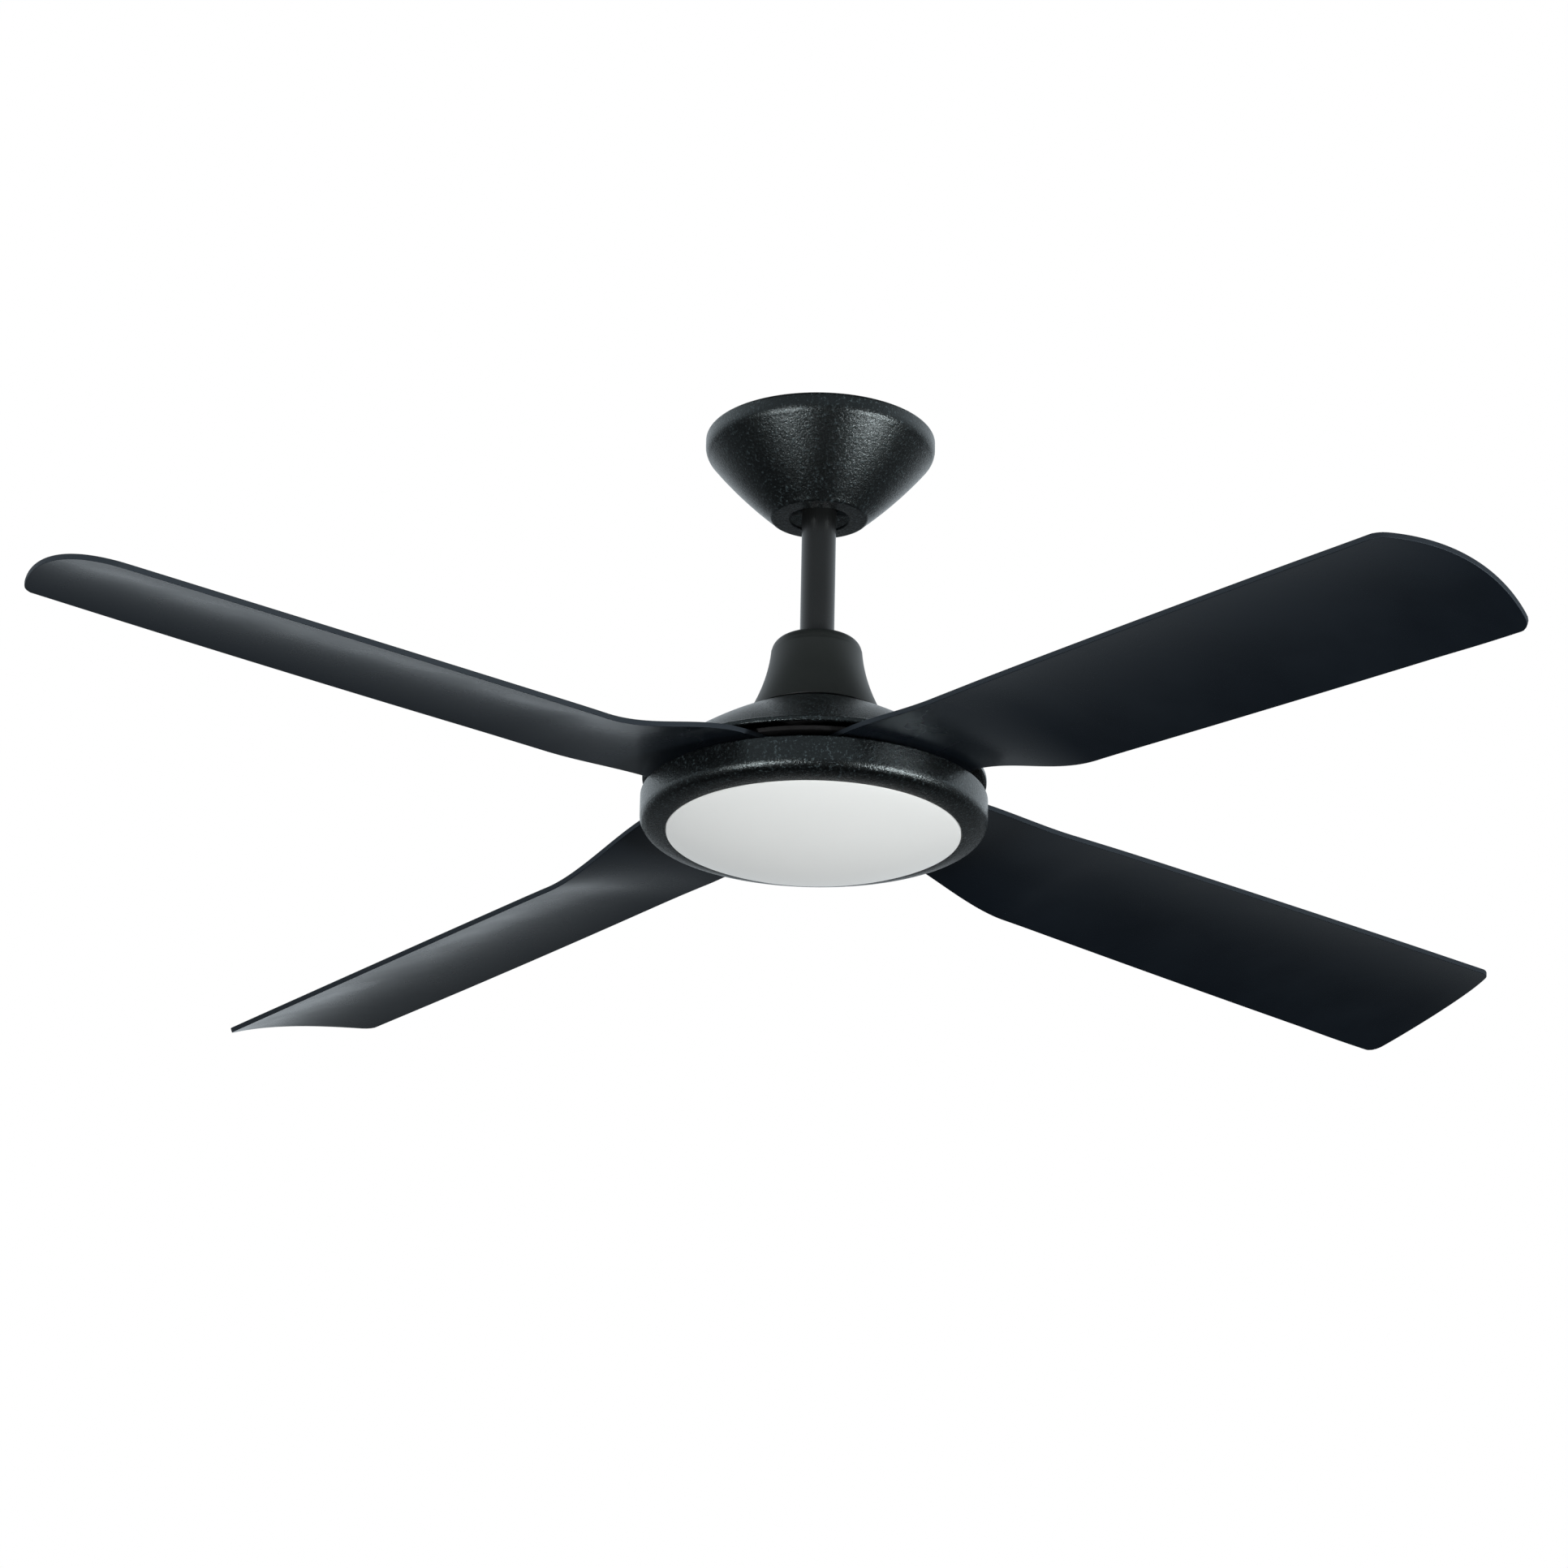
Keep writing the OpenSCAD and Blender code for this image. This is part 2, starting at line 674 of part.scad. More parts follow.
module control_board() {
    color("seagreen") translate([-30, board_y - 19, tray_top + 1.4]) difference() {
        cube([60, 38, 1.6]);
        translate([30, 19 - board_y, -1]) at_board_screws() cylinder(r = 1.6, h = 4, $fn = 32);
    }
}

module control_parts() {
    floor_z = tray_top + 3.05;
    color([0.2, 0.2, 0.22]) {
        translate([-14, board_y - 6, floor_z]) cube([12, 12, 2.2]);
        translate([4, board_y + 2, floor_z]) cube([14, 9, 5.5]);
        for (x = [-20, -8]) translate([x, board_y + 12, floor_z]) cylinder(r = 3.4, h = 6, $fn = 32);
        translate([-7, board_y - 17.6, floor_z]) cube([14, 5, 3.2]);
        for (y = [-8, -1]) translate([18, board_y + y, floor_z]) cube([5, 4, 1.6]);
    }
}

module board_screws() {
    color("silver") at_board_screws() translate([0, 0, tray_top + 3.05])
        screw_down(1.5, 4.2, 2.6, 1.5);
}

clip_half = 6;
module diffuser_clips() {
    color("silver") for (i = [0:2]) rotate([0, 0, i * 120 + 30 - clip_half])
        rotate_extrude(angle = 2 * clip_half) polygon([
            [91, tray_top - tray_t - fit], [97, tray_top - tray_t - fit], [97, clip_foot_top],
            [102.6, clip_foot_top], [102.6, clip_foot_top - 1], [96, clip_foot_top - 1],
            [96, tray_top - tray_t - 1], [91, tray_top - tray_t - 1]]);
}

module harness() {
    color("dimgray") wire(harness_route, harness_r);
}

module shaft_grommet() {
    color([0.1, 0.1, 0.1]) difference() {
        union() {
            translate([0, 0, shaft_bottom - 1.2]) cylinder(r = 6.4, h = 1.15);
            translate([0, 0, shaft_bottom - 1.2]) cylinder(r = shaft_bore - fit, h = 4);
        }
        translate([0, 0, shaft_bottom - 2]) cylinder(r = 3.6, h = 8);
        translate([-3.6, 0, shaft_bottom - 2]) cube([7.2, 8, 3.4]);
    }
}

// ---------- rotor ----------

module rotor_cover_upper() {
    hub_r = 21.5;
    lip = 14;
    roof = 3;
    color([0.08, 0.08, 0.085]) difference() {
        rotate_extrude() polygon([
            [lip, upper_bearing_z + bearing_w + 0.1], [lip, upper_bearing_z + bearing_w + 2],
            [hub_r, upper_bearing_z + bearing_w + 2], [hub_r + 1, upper_bearing_z],
            [rotor_r - 7, upper_bearing_z - 0.5], [rotor_r - 1.5, upper_bearing_z - 3],
            [rotor_r, upper_bearing_z - 6], [rotor_r, rotor_flange_top],
            [rotor_flange_r, rotor_flange_top], [rotor_flange_r, rotor_flange_z],
            [steel_out + fit, rotor_flange_z], [steel_out + fit, upper_bearing_z - 5.5],
            [steel_out - 3, upper_bearing_z - 0.5 - roof],
            [bearing_r + fit, upper_bearing_z - roof],
            [bearing_r + fit, upper_bearing_z + bearing_w + 0.1]]);
        for (i = [0:blades - 1]) rotate([0, 0, blade_angle + i * 360 / blades])
            for (spot = blade_screw_spots) translate([spot[0], spot[1], rotor_flange_z - 1])
                cylinder(r = blade_screw_r + fit, h = 5, $fn = 32);
        ring_of(6, rotor_screw_r, 15) translate([0, 0, rotor_flange_z - 1])
            cylinder(r = 1.55, h = 9, $fn = 32);
    }
}

module rotor_cover_lower() {
    hub_r = 21.5;
    lip = 14;
    top = rotor_flange_z - fit;
    color([0.08, 0.08, 0.085]) difference() {
        rotate_extrude() polygon([
            [bearing_r + fit, lower_bearing_z + bearing_w], [hub_r, lower_bearing_z + bearing_w],
            [hub_r, top], [rotor_r, top], [rotor_r, top - 2.4], [hub_r + 1, top - 2.4],
            [hub_r, lower_bearing_z - 1.4], [lip, lower_bearing_z - 1.4],
            [lip, lower_bearing_z - fit], [bearing_r + fit, lower_bearing_z - fit]]);
        ring_of(6, rotor_screw_r, 15) translate([0, 0, top - 3])
            cylinder(r = 1.7, h = 4, $fn = 32);
    }
}

module rotor_steel_ring() {
    color("gray") tube(steel_out, magnet_out + fit, stator_bottom - 3, stator_bottom + stator_h + 2.5);
}

module magnets() {
    arc_deg = 360 / magnet_count - 2;
    color([0.3, 0.3, 0.32]) for (i = [0:magnet_count - 1])
        rotate([0, 0, i * 360 / magnet_count])
            translate([0, 0, stator_bottom - 2]) rotate_extrude(angle = arc_deg)
                translate([magnet_in, 0]) square([magnet_out - magnet_in, stator_h + 4]);
}

module bearing_outer_races() {
    color("silver") for (z = bearing_floors) tube(bearing_r, outer_race_in, z, z + bearing_w);
}

module bearing_balls() {
    color("white") for (z = bearing_floors)
        ring_of(balls, (inner_race_r + outer_race_in) / 2)
            translate([0, 0, z + bearing_w / 2]) sphere(r = 2.1, $fn = 32);
}

module rotor_screws() {
    color("silver") ring_of(6, rotor_screw_r, 15) translate([0, 0, rotor_flange_z - 2.5 - fit])
        screw_up(1.5, 7, 2.8, 1.6);
}

// ---------- blades ----------

// Fraction of the way from the root to the start of the tip arc
function along(x) = clamp01((x - root_x) / (tip_x - root_x));
function side_lead(x) = mix(root_chord / 2 + 2, tip_chord / 2, along(x)) + 12 * along(x) * (1 - along(x));
function side_trail(x) = mix(root_chord / 2 - 2, tip_chord / 2, along(x)) + 6 * along(x) * (1 - along(x));
function arc_half(x) = sqrt(max(1, pow(tip_arc_r, 2) - pow(max(0, x - tip_r + tip_arc_r), 2)));

// The side edge and the tip arc, blended into each other at the corner
function soft_min(a, b) = pow(pow(a, -corner_power) + pow(b, -corner_power), -1 / corner_power);
function lead_t(x) = -soft_min(side_lead(x), max(1, arc_half(x) - tip_arc_t));
function trail_t(x) = soft_min(side_trail(x), arc_half(x) + tip_arc_t);

// Mid-plane height of the blade: level at the root, then twisted and arched
function lead_z(x) = root_z - lead_step * ease((x - twist_start) / (lead_end - twist_start))
    - lead_fall * clamp01((x - lead_end) / (tip_x - lead_end));
function trail_outer_z(x) =
    mix(trail_turn_z, lead_z(tip_x) - tip_rise, clamp01((x - twist_end) / (tip_x - twist_end)));
function trail_z(x) =
    mix(root_z, trail_outer_z(x), ease((x - twist_start) / (twist_end - twist_start)));
function blade_z(x, t, i) =
    let (f = (t + tip_chord / 2) / tip_chord)
    mix(lead_z(x), trail_z(x), f)
    + tip_lift[i] * clamp01((x - rotor_flange_r) / (tip_r - rotor_flange_r))
    + tip_twist[i] * (0.5 - f) * ease((x - twist_start) / (twist_end - twist_start))
    + camber * ease((x - twist_start) / arch_length) * 4 * clamp01(f) * (1 - clamp01(f));
function blade_thick(x, f) = 
    mix(edge_t_root, mix(edge_t_lead, edge_t_trail, f), ease((x - rotor_flange_r) / 90));

blade_stations = concat(
    [for (i = [0:3]) root_x + i * 7],
    [for (i = [0:12]) mix(112, 262, i / 12)],
    [for (i = [1:8]) mix(262, tip_r - 34, i / 8)],
    [for (i = [1:9]) tip_r - 34 * pow(1 - i / 9, 2) - 0.15]);

function section(x, i) = let (a = lead_t(x), b = trail_t(x)) concat(
    [for (k = [0:chord_steps]) let (f = k / chord_steps, t = mix(a, b, f))
        [x, t, blade_z(x, t, i) + blade_thick(x, f) / 2]],
    [for (k = [chord_steps:-1:0]) let (f = k / chord_steps, t = mix(a, b, f))
        [x, t, blade_z(x, t, i) - blade_thick(x, f) / 2]]);

module blade(index) {
    n = 2 * (chord_steps + 1);
    last = len(blade_stations) - 1;
    points = [for (x = blade_stations) for (p = section(x, index)) p];
    walls = [for (i = [0:last - 1]) for (k = [0:n - 1])
        let (a = i * n + k, b = i * n + (k + 1) % n)
        for (tri = [[a, b, a + n], [b, b + n, a + n]]) tri];
    strip = [for (k = [0:chord_steps - 1])
        for (tri = [[k, n - 1 - k, k + 1], [k + 1, n - 1 - k, n - 2 - k]]) tri];
    far_strip = [for (tri = strip) [tri[0], tri[2], tri[1]] + last * n * [1, 1, 1]];
    color([0.13, 0.145, 0.165]) rotate([0, 0, blade_angle + index * 360 / blades]) difference() {
        polyhedron(points, concat(strip, walls, far_strip));
        for (spot = blade_screw_spots) translate([spot[0], spot[1], root_z - 10])
            cylinder(r = blade_screw_r + 0.2, h = 20, $fn = 24);
    }
}

module blade_1() { blade(0); }
module blade_2() { blade(1); }
module blade_3() { blade(2); }
module blade_4() { blade(3); }

module at_blade_screws() {
    for (i = [0:blades - 1]) rotate([0, 0, blade_angle + i * 360 / blades])
        for (spot = blade_screw_spots) translate([spot[0], spot[1], root_z - 2.2 - fit]) children();
}

washer_t = 0.6;
module blade_screws() {
    color("silver") at_blade_screws() translate([0, 0, -washer_t - fit])
        screw_up(blade_screw_r, 7.4, 4.2, 2);
}

module blade_washers() {
    color("gray") at_blade_screws() translate([0, 0, -washer_t]) difference() {
        cylinder(r = 5, h = washer_t, $fn = 32);
        translate([0, 0, -1]) cylinder(r = blade_screw_r + fit, h = 3, $fn = 32);
    }
}

// ---------- diffuser ----------

dome_power = 0.9;
function opal_z(r, sag) = diffuser_rim - sag * pow(max(0, 1 - pow(r / diffuser_r, 2)), dome_power);
opal_steps = 14;
opal_radii = [for (i = [0:opal_steps]) diffuser_r * pow(i / opal_steps, 0.7)];

module diffuser() {
    inner_r = diffuser_r - diffuser_wall;
    shrink = inner_r / diffuser_r;
    color([0.92, 0.93, 0.93]) {
        rotate_extrude() polygon(concat(
            [for (r = opal_radii) [r, opal_z(r, diffuser_sag)]],
            [[diffuser_r, collar_wall_top], [inner_r, collar_wall_top]],
            [for (r = reversed(opal_radii)) [r * shrink, opal_z(r, diffuser_sag) + diffuser_wall]]));
        // Lugs that hook over the clips on the tray
        for (i = [0:2]) rotate([0, 0, i * 120 + 30 - 7])
            rotate_extrude(angle = 14) translate([98.2, clip_foot_top + 0.35])
                square([inner_r - 98.2 + 0.5, 2]);
    }
}

ceiling_bracket();
canopy();
canopy_screws();
terminal_block();
terminal_screws();
earth_screw();
supply_leads();
hanger_ball();
hanger_pin();
ball_set_screw();
downrod();
yoke();
yoke_pin();
pin_clip();
yoke_set_screws();
coupling_cover();
top_housing();
housing_screws();
motor_shaft();
stator_core();
windings();
bearing_inner_races();
light_mount_plate();
lock_washer();
shaft_nut();
plate_screws();
light_ring();
led_tray();
tray_screws();
led_board();
led_chips();
led_board_screws();
led_driver();
control_board();
control_parts();
board_screws();
diffuser_clips();
harness();
shaft_grommet();
rotor_cover_upper();
rotor_cover_lower();
rotor_steel_ring();
magnets();
bearing_outer_races();
bearing_balls();
rotor_screws();
blade_1();
blade_2();
blade_3();
blade_4();
blade_screws();
blade_washers();
diffuser();
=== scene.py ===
"""Ceiling fan with light: smooth outer pieces, finishes and studio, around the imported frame."""
import json
import math

import bpy
from bpy.props import FloatProperty, FloatVectorProperty, IntProperty, PointerProperty
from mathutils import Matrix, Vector


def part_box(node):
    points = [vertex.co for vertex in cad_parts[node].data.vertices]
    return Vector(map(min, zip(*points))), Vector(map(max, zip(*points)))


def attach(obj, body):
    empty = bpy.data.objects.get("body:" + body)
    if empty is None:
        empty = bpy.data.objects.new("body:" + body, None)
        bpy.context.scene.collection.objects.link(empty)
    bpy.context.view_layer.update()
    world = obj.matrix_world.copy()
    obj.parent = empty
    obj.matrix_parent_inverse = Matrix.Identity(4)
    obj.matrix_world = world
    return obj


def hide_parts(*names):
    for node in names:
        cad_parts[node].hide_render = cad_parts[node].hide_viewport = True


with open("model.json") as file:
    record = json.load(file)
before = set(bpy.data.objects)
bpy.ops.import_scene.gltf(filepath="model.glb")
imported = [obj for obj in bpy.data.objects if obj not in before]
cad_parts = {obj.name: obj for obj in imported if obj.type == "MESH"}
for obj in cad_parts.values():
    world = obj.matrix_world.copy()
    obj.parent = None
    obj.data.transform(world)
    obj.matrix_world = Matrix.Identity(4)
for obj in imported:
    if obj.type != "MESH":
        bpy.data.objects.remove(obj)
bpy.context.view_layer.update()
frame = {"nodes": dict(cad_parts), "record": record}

bl_info = {
    "name": "Ceiling Fan With Light",
    "version": (1, 0, 0),
    "blender": (4, 5, 0),
    "location": "View3D > Sidebar > Ceiling Fan",
    "description": "Builds the outer pieces, finishes and studio of a four-blade ceiling fan",
    "category": "Add Mesh",
}

MM = 0.001
MERGE_GAP = MM / 100


# ---------------------------------------------------------------- sizes taken from the frame

def top(node):
    """Height of a node's highest point."""
    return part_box(node)[1].z


def floor_of(node):
    """Height of a node's lowest point."""
    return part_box(node)[0].z


def radius(node):
    """Radius of a round node that is centred on the spin axis."""
    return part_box(node)[1].y


BLADE_COUNT = 4


class FanSizes(bpy.types.PropertyGroup):
    """Sizes of the pieces that are modelled here, in metres."""
    canopy_radius: FloatProperty(
        name="Canopy radius", description="Largest radius of the canopy",
        default=radius("canopy"), unit="LENGTH")
    rod_radius: FloatProperty(
        name="Rod radius", description="Outer radius of the down rod",
        default=radius("downrod"), unit="LENGTH")
    housing_radius: FloatProperty(
        name="Housing radius", description="Radius of the motor housing's rim",
        default=radius("top_housing"), unit="LENGTH")
    ring_radius: FloatProperty(
        name="Ring radius", description="Outer radius of the ring around the light",
        default=radius("light_ring"), unit="LENGTH")
    diffuser_radius: FloatProperty(
        name="Diffuser radius", description="Radius of the opal diffuser",
        default=radius("diffuser"), unit="LENGTH")
    tip_radius: FloatProperty(
        name="Tip radius", description="Distance from the spin axis to a blade's tip",
        default=0.65, unit="LENGTH")
    blade_angle: FloatProperty(
        name="Blade angle", description="Direction of the first blade from +X",
        default=math.radians(39.9), subtype="ANGLE")
    camber: FloatProperty(
        name="Camber", description="Height of the arch across a blade",
        default=8.6 * MM, unit="LENGTH")
    around: IntProperty(
        name="Steps around", description="Steps of a full turn in the turned pieces",
        default=192, min=48, max=384)


class FanColours(bpy.types.PropertyGroup):
    """Base colours of the outer finishes."""
    powder: FloatVectorProperty(
        name="Powder coat", description="Black powder coat of the canopy, housing and ring",
        subtype="COLOR", size=3, min=0, max=1, default=(0.0030, 0.0036, 0.0038))
    # Painted sparkle: bright flecks put in the powder coat's colour to stand for glints off its grain
    painted_sparkle: FloatVectorProperty(
        name="Fleck", description="Fine bright flecks in the powder coat",
        subtype="COLOR", size=3, min=0, max=1, default=(0.040, 0.054, 0.058))
    cover: FloatVectorProperty(
        name="Coupling cover", description="Matte black plastic of the coupling cover",
        subtype="COLOR", size=3, min=0, max=1, default=(0.0120, 0.0145, 0.0135))
    blade: FloatVectorProperty(
        name="Blade", description="Satin black plastic of the blades",
        subtype="COLOR", size=3, min=0, max=1, default=(0.0056, 0.0082, 0.0120))
    rod: FloatVectorProperty(
        name="Rod", description="Satin black paint of the down rod",
        subtype="COLOR", size=3, min=0, max=1, default=(0.008, 0.009, 0.009))
    opal: FloatVectorProperty(
        name="Opal", description="White of the diffuser",
        subtype="COLOR", size=3, min=0, max=1, default=(0.53, 0.54, 0.53))


def sizes():
    return bpy.context.scene.fan_sizes


def colours():
    return bpy.context.scene.fan_colours


# ---------------------------------------------------------------- modelling helpers

def clamp01(v):
    """The value, kept between 0 and 1."""
    return max(0.0, min(1.0, v))


def ease(v):
    """A smooth step from 0 to 1 as v goes from 0 to 1."""
    c = clamp01(v)
    return c * c * (3 - 2 * c)


def mix(a, b, f):
    """The value that lies the fraction f of the way from a to b."""
    return a + (b - a) * f


def spread(start, end, count):
    """Evenly spaced values from start to end, in count steps."""
    return [mix(start, end, i / count) for i in range(count + 1)]


def deselect():
    if bpy.context.mode != "OBJECT":
        bpy.ops.object.mode_set(mode="OBJECT")
    bpy.ops.object.select_all(action="DESELECT")


def pick(piece):
    """Makes the piece the only selected object and the active one."""
    deselect()
    piece.select_set(True)
    bpy.context.view_layer.objects.active = piece


def arc(cx, cz, r, start, end, count):
    """Points of an arc in the outline's plane; angles in degrees, 0 outwards and 90 up."""
    angles = [math.radians(angle) for angle in spread(start, end, count)]
    return [(cx + r * math.cos(a), cz + r * math.sin(a)) for a in angles]


def bow(p, q, sag, count):
    """Points from p to q that bow sideways by sag at the middle."""
    dx, dz = q[0] - p[0], q[1] - p[1]
    length = math.hypot(dx, dz)
    points = []
    for f in spread(0, 1, count):
        lift = sag * 4 * f * (1 - f)
        points.append((p[0] + dx * f + dz / length * lift, p[1] + dz * f - dx / length * lift))
    return points


def smooth(piece, angle=35):
    """Shades the piece smooth, apart from edges sharper than the angle in degrees."""
    pick(piece)
    bpy.ops.object.shade_smooth_by_angle(angle=math.radians(angle))


def turn(name, outline):
    """A turned piece: a vertex is extruded round the closed outline (mm), then spun about Z."""
    deselect()
    bpy.ops.mesh.primitive_plane_add(size=MM, location=(0, 0, 0))
    piece = bpy.context.active_object
    piece.name = name
    piece.data.name = name
    bpy.ops.object.mode_set(mode="EDIT")
    bpy.ops.mesh.select_all(action="SELECT")
    bpy.ops.mesh.merge(type="CENTER")
    points = [Vector((x * MM, 0, z * MM)) for x, z in outline]
    bpy.ops.transform.translate(value=points[0])
    for before, after in zip(points, points[1:] + points[:1]):
        bpy.ops.mesh.extrude_region_move(TRANSFORM_OT_translate={"value": after - before})
    bpy.ops.mesh.select_all(action="SELECT")
    bpy.ops.mesh.remove_doubles(threshold=MERGE_GAP)
    bpy.ops.mesh.select_all(action="SELECT")
    bpy.ops.mesh.spin(
        steps=sizes().around, angle=2 * math.pi, center=(0, 0, 0), axis=(0, 0, 1))
    bpy.ops.mesh.select_all(action="SELECT")
    bpy.ops.mesh.remove_doubles(threshold=MERGE_GAP)
    bpy.ops.mesh.select_all(action="SELECT")
    bpy.ops.mesh.normals_make_consistent(inside=False)
    bpy.ops.object.mode_set(mode="OBJECT")
    smooth(piece)
    return piece


def apply_modifiers(piece):
    pick(piece)
    for modifier in list(piece.modifiers):
        bpy.ops.object.modifier_apply(modifier=modifier.name)


def soften_edges(piece, width, sharp):
    """Rounds by width (mm) the edges sharper than sharp (degrees), and shades the piece smooth."""
    bevel = piece.modifiers.new("edge", "BEVEL")
    bevel.width = width * MM
    bevel.segments = 3
    bevel.limit_method = "ANGLE"
    bevel.angle_limit = math.radians(sharp)
    bevel.use_clamp_overlap = True
    apply_modifiers(piece)
    smooth(piece, 40)
    # Keeps the flat faces beside a rounded edge flat in shading
    weighted = piece.modifiers.new("flat", "WEIGHTED_NORMAL")
    weighted.keep_sharp = True
    apply_modifiers(piece)


def fit_out(piece, body, slot, *nodes):
    """Gives a finished piece its slot's material and its body, and hides the CAD nodes it stands for.
    """
    piece.data.materials.clear()
    piece.data.materials.append(MATERIALS[slot])
    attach(piece, body)
    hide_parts(*nodes)


# ---------------------------------------------------------------- materials

# Filled by the finishes step: one material for each slot
MATERIALS = {}
RANGE_SOCKETS = ("From Min", "From Max", "To Min", "To Max")
# The part of a noise's range that nearly all of its values fall in
NOISE_LOW, NOISE_HIGH = 0.3, 0.7


def shade(colour, factor):
    """The colour, darker or lighter by a factor."""
    return tuple(min(1.0, c * factor) for c in colour)


class Shader:
    """A material's node tree, with short calls for the nodes that the finishes use."""

    def __init__(self, name, base, rough, metallic=0.0):
        self.material = bpy.data.materials.new(name)
        self.material.use_nodes = True
        self.tree = self.material.node_tree
        self.bsdf = self.tree.nodes["Principled BSDF"]
        self.bsdf.inputs["Base Color"].default_value = (*base, 1)
        self.bsdf.inputs["Roughness"].default_value = rough
        self.bsdf.inputs["Metallic"].default_value = metallic
        self.source = self.tree.nodes.new("ShaderNodeTexCoord")
        self.coords = self.source.outputs["Object"]

    def link(self, a, b):
        self.tree.links.new(a, b)

    def stretched(self, scale):
        node = self.tree.nodes.new("ShaderNodeMapping")
        node.inputs["Scale"].default_value = scale
        self.link(self.coords, node.inputs["Vector"])
        return node.outputs["Vector"]

    def noise(self, scale, detail=3, rough=0.5, vector=None):
        node = self.tree.nodes.new("ShaderNodeTexNoise")
        node.inputs["Scale"].default_value = scale
        node.inputs["Detail"].default_value = detail
        node.inputs["Roughness"].default_value = rough
        self.link(vector or self.coords, node.inputs["Vector"])
        return node.outputs["Fac"]

    def cells(self, scale):
        node = self.tree.nodes.new("ShaderNodeTexVoronoi")
        node.inputs["Scale"].default_value = scale
        self.link(self.coords, node.inputs["Vector"])
        return node.outputs["Distance"]

    def bands(self, scale, distortion=0.0):
        """Level bands, one over another."""
        node = self.tree.nodes.new("ShaderNodeTexWave")
        node.wave_type = "BANDS"
        node.bands_direction = "Z"
        node.inputs["Scale"].default_value = scale
        node.inputs["Distortion"].default_value = distortion
        self.link(self.coords, node.inputs["Vector"])
        return node.outputs["Fac"]

    def uprightness(self):
        """1 where the surface faces straight up or down, 0 where it faces sideways."""
        split = self.tree.nodes.new("ShaderNodeSeparateXYZ")
        self.link(self.source.outputs["Normal"], split.inputs["Vector"])
        node = self.tree.nodes.new("ShaderNodeMath")
        node.operation = "ABSOLUTE"
        self.link(split.outputs["Z"], node.inputs[0])
        return node.outputs[0]

    def ramp(self, fac, stops):
        node = self.tree.nodes.new("ShaderNodeValToRGB")
        fill_ramp(node.color_ramp.elements, stops)
        self.link(fac, node.inputs["Fac"])
        return node.outputs["Color"]

    def remap(self, fac, low, high, out_low, out_high):
        node = self.tree.nodes.new("ShaderNodeMapRange")
        for socket, value in zip(RANGE_SOCKETS, (low, high, out_low, out_high)):
            node.inputs[socket].default_value = value
        self.link(fac, node.inputs["Value"])
        return node.outputs["Result"]

    def add(self, a, b, weight=1.0):
        node = self.tree.nodes.new("ShaderNodeMath")
        node.operation = "MULTIPLY_ADD"
        self.link(b, node.inputs[0])
        node.inputs[1].default_value = weight
        self.link(a, node.inputs[2])
        return node.outputs[0]

    def colour(self, output):
        self.link(output, self.bsdf.inputs["Base Color"])

    def tone(self, noise, base, dark, light):
        """Lets the base colour drift with a noise, from dark to light times its own value."""
        stops = [(NOISE_LOW, shade(base, dark)), (NOISE_HIGH, shade(base, light))]
        self.colour(self.ramp(noise, stops))

    def roughness(self, output):
        self.link(output, self.bsdf.inputs["Roughness"])

    def gloss(self, noise, smoothest, roughest):
        """Lets the roughness drift with a noise."""
        output = self.remap(noise, NOISE_LOW, NOISE_HIGH, smoothest, roughest)
        self.roughness(output)
        return output

    def bump(self, height, strength, distance):
        node = self.tree.nodes.new("ShaderNodeBump")
        node.inputs["Strength"].default_value = strength
        node.inputs["Distance"].default_value = distance
        self.link(height, node.inputs["Height"])
        self.link(node.outputs["Normal"], self.bsdf.inputs["Normal"])

    def value(self, socket, amount):
        self.bsdf.inputs[socket].default_value = amount


def fill_ramp(elements, stops):
    """Gives a colour ramp its stops, each a position and a colour."""
    while len(elements) < len(stops):
        elements.new(0.5)
    for element, (position, colour) in zip(elements, stops):
        element.position = position
        element.color = (*colour, 1)


def powder_coat(name):
    """Black powder coat: orange-peel lumps, with fine bright flecks in its colour that are painted
    sparkle, standing for glints off the grain.
    """
    base, painted_sparkle = colours().powder, colours().painted_sparkle
    s = Shader(name, base, 0.42)
    lumps = s.noise(520, 2, 0.75)
    fine = s.noise(1500, 2, 0.6)
    # The brightest lumps take the painted sparkle colour: glints painted into the coat
    s.colour(s.ramp(lumps, [(0.40, shade(base, 0.4)), (0.58, base), (0.68, painted_sparkle)]))
    s.gloss(fine, 0.24, 0.34)
    s.value("Specular IOR Level", 0.64)
    s.value("Specular Tint", (0.86, 0.98, 1.0, 1))
    s.bump(s.add(lumps, fine, 0.3), 0.7, 0.0005)
    return s.material


def satin_shader(name, base, rough, grain, depth):
    """Satin plastic: faint grain, slow drift of tone and gloss. Also returns the gloss."""
    s = Shader(name, base, rough)
    slow = s.noise(14, 3, 0.55)
    s.tone(slow, base, 0.88, 1.12)
    s.bump(s.noise(grain, 2, 0.5), 0.25, depth)
    return s, s.gloss(slow, rough - 0.04, rough + 0.05)


def satin_plastic(name, base, rough, grain, depth=0.00008):
    """Moulded plastic of the covers, cases and insulators."""
    return satin_shader(name, base, rough, grain, depth)[0].material


def moulded_blade(name):
    """Satin blade plastic, with the matte edges that the mould's parting line leaves."""
    s, face_gloss = satin_shader(name, colours().blade, 0.27, 1300, 0.00004)
    s.value("Specular Tint", (0.76, 0.89, 1.0, 1))
    s.value("Specular IOR Level", 0.62)
    # The faces lie nearly level, so only the edges face sideways
    edge_matte = s.remap(s.uprightness(), 0.5, 0.85, 0.5, 0.0)
    s.roughness(s.add(face_gloss, edge_matte))
    return s.material


def painted_rod(name):
    """Satin paint over a drawn tube, whose lines run along it."""
    base = colours().rod
    s = Shader(name, base, 0.3)
    drawn = s.noise(700, 3, 0.6, s.stretched((1, 1, 0.04)))
    s.tone(s.noise(30, 3), base, 0.85, 1.2)
    s.gloss(drawn, 0.24, 0.36)
    s.bump(drawn, 0.15, 0.00006)
    return s.material


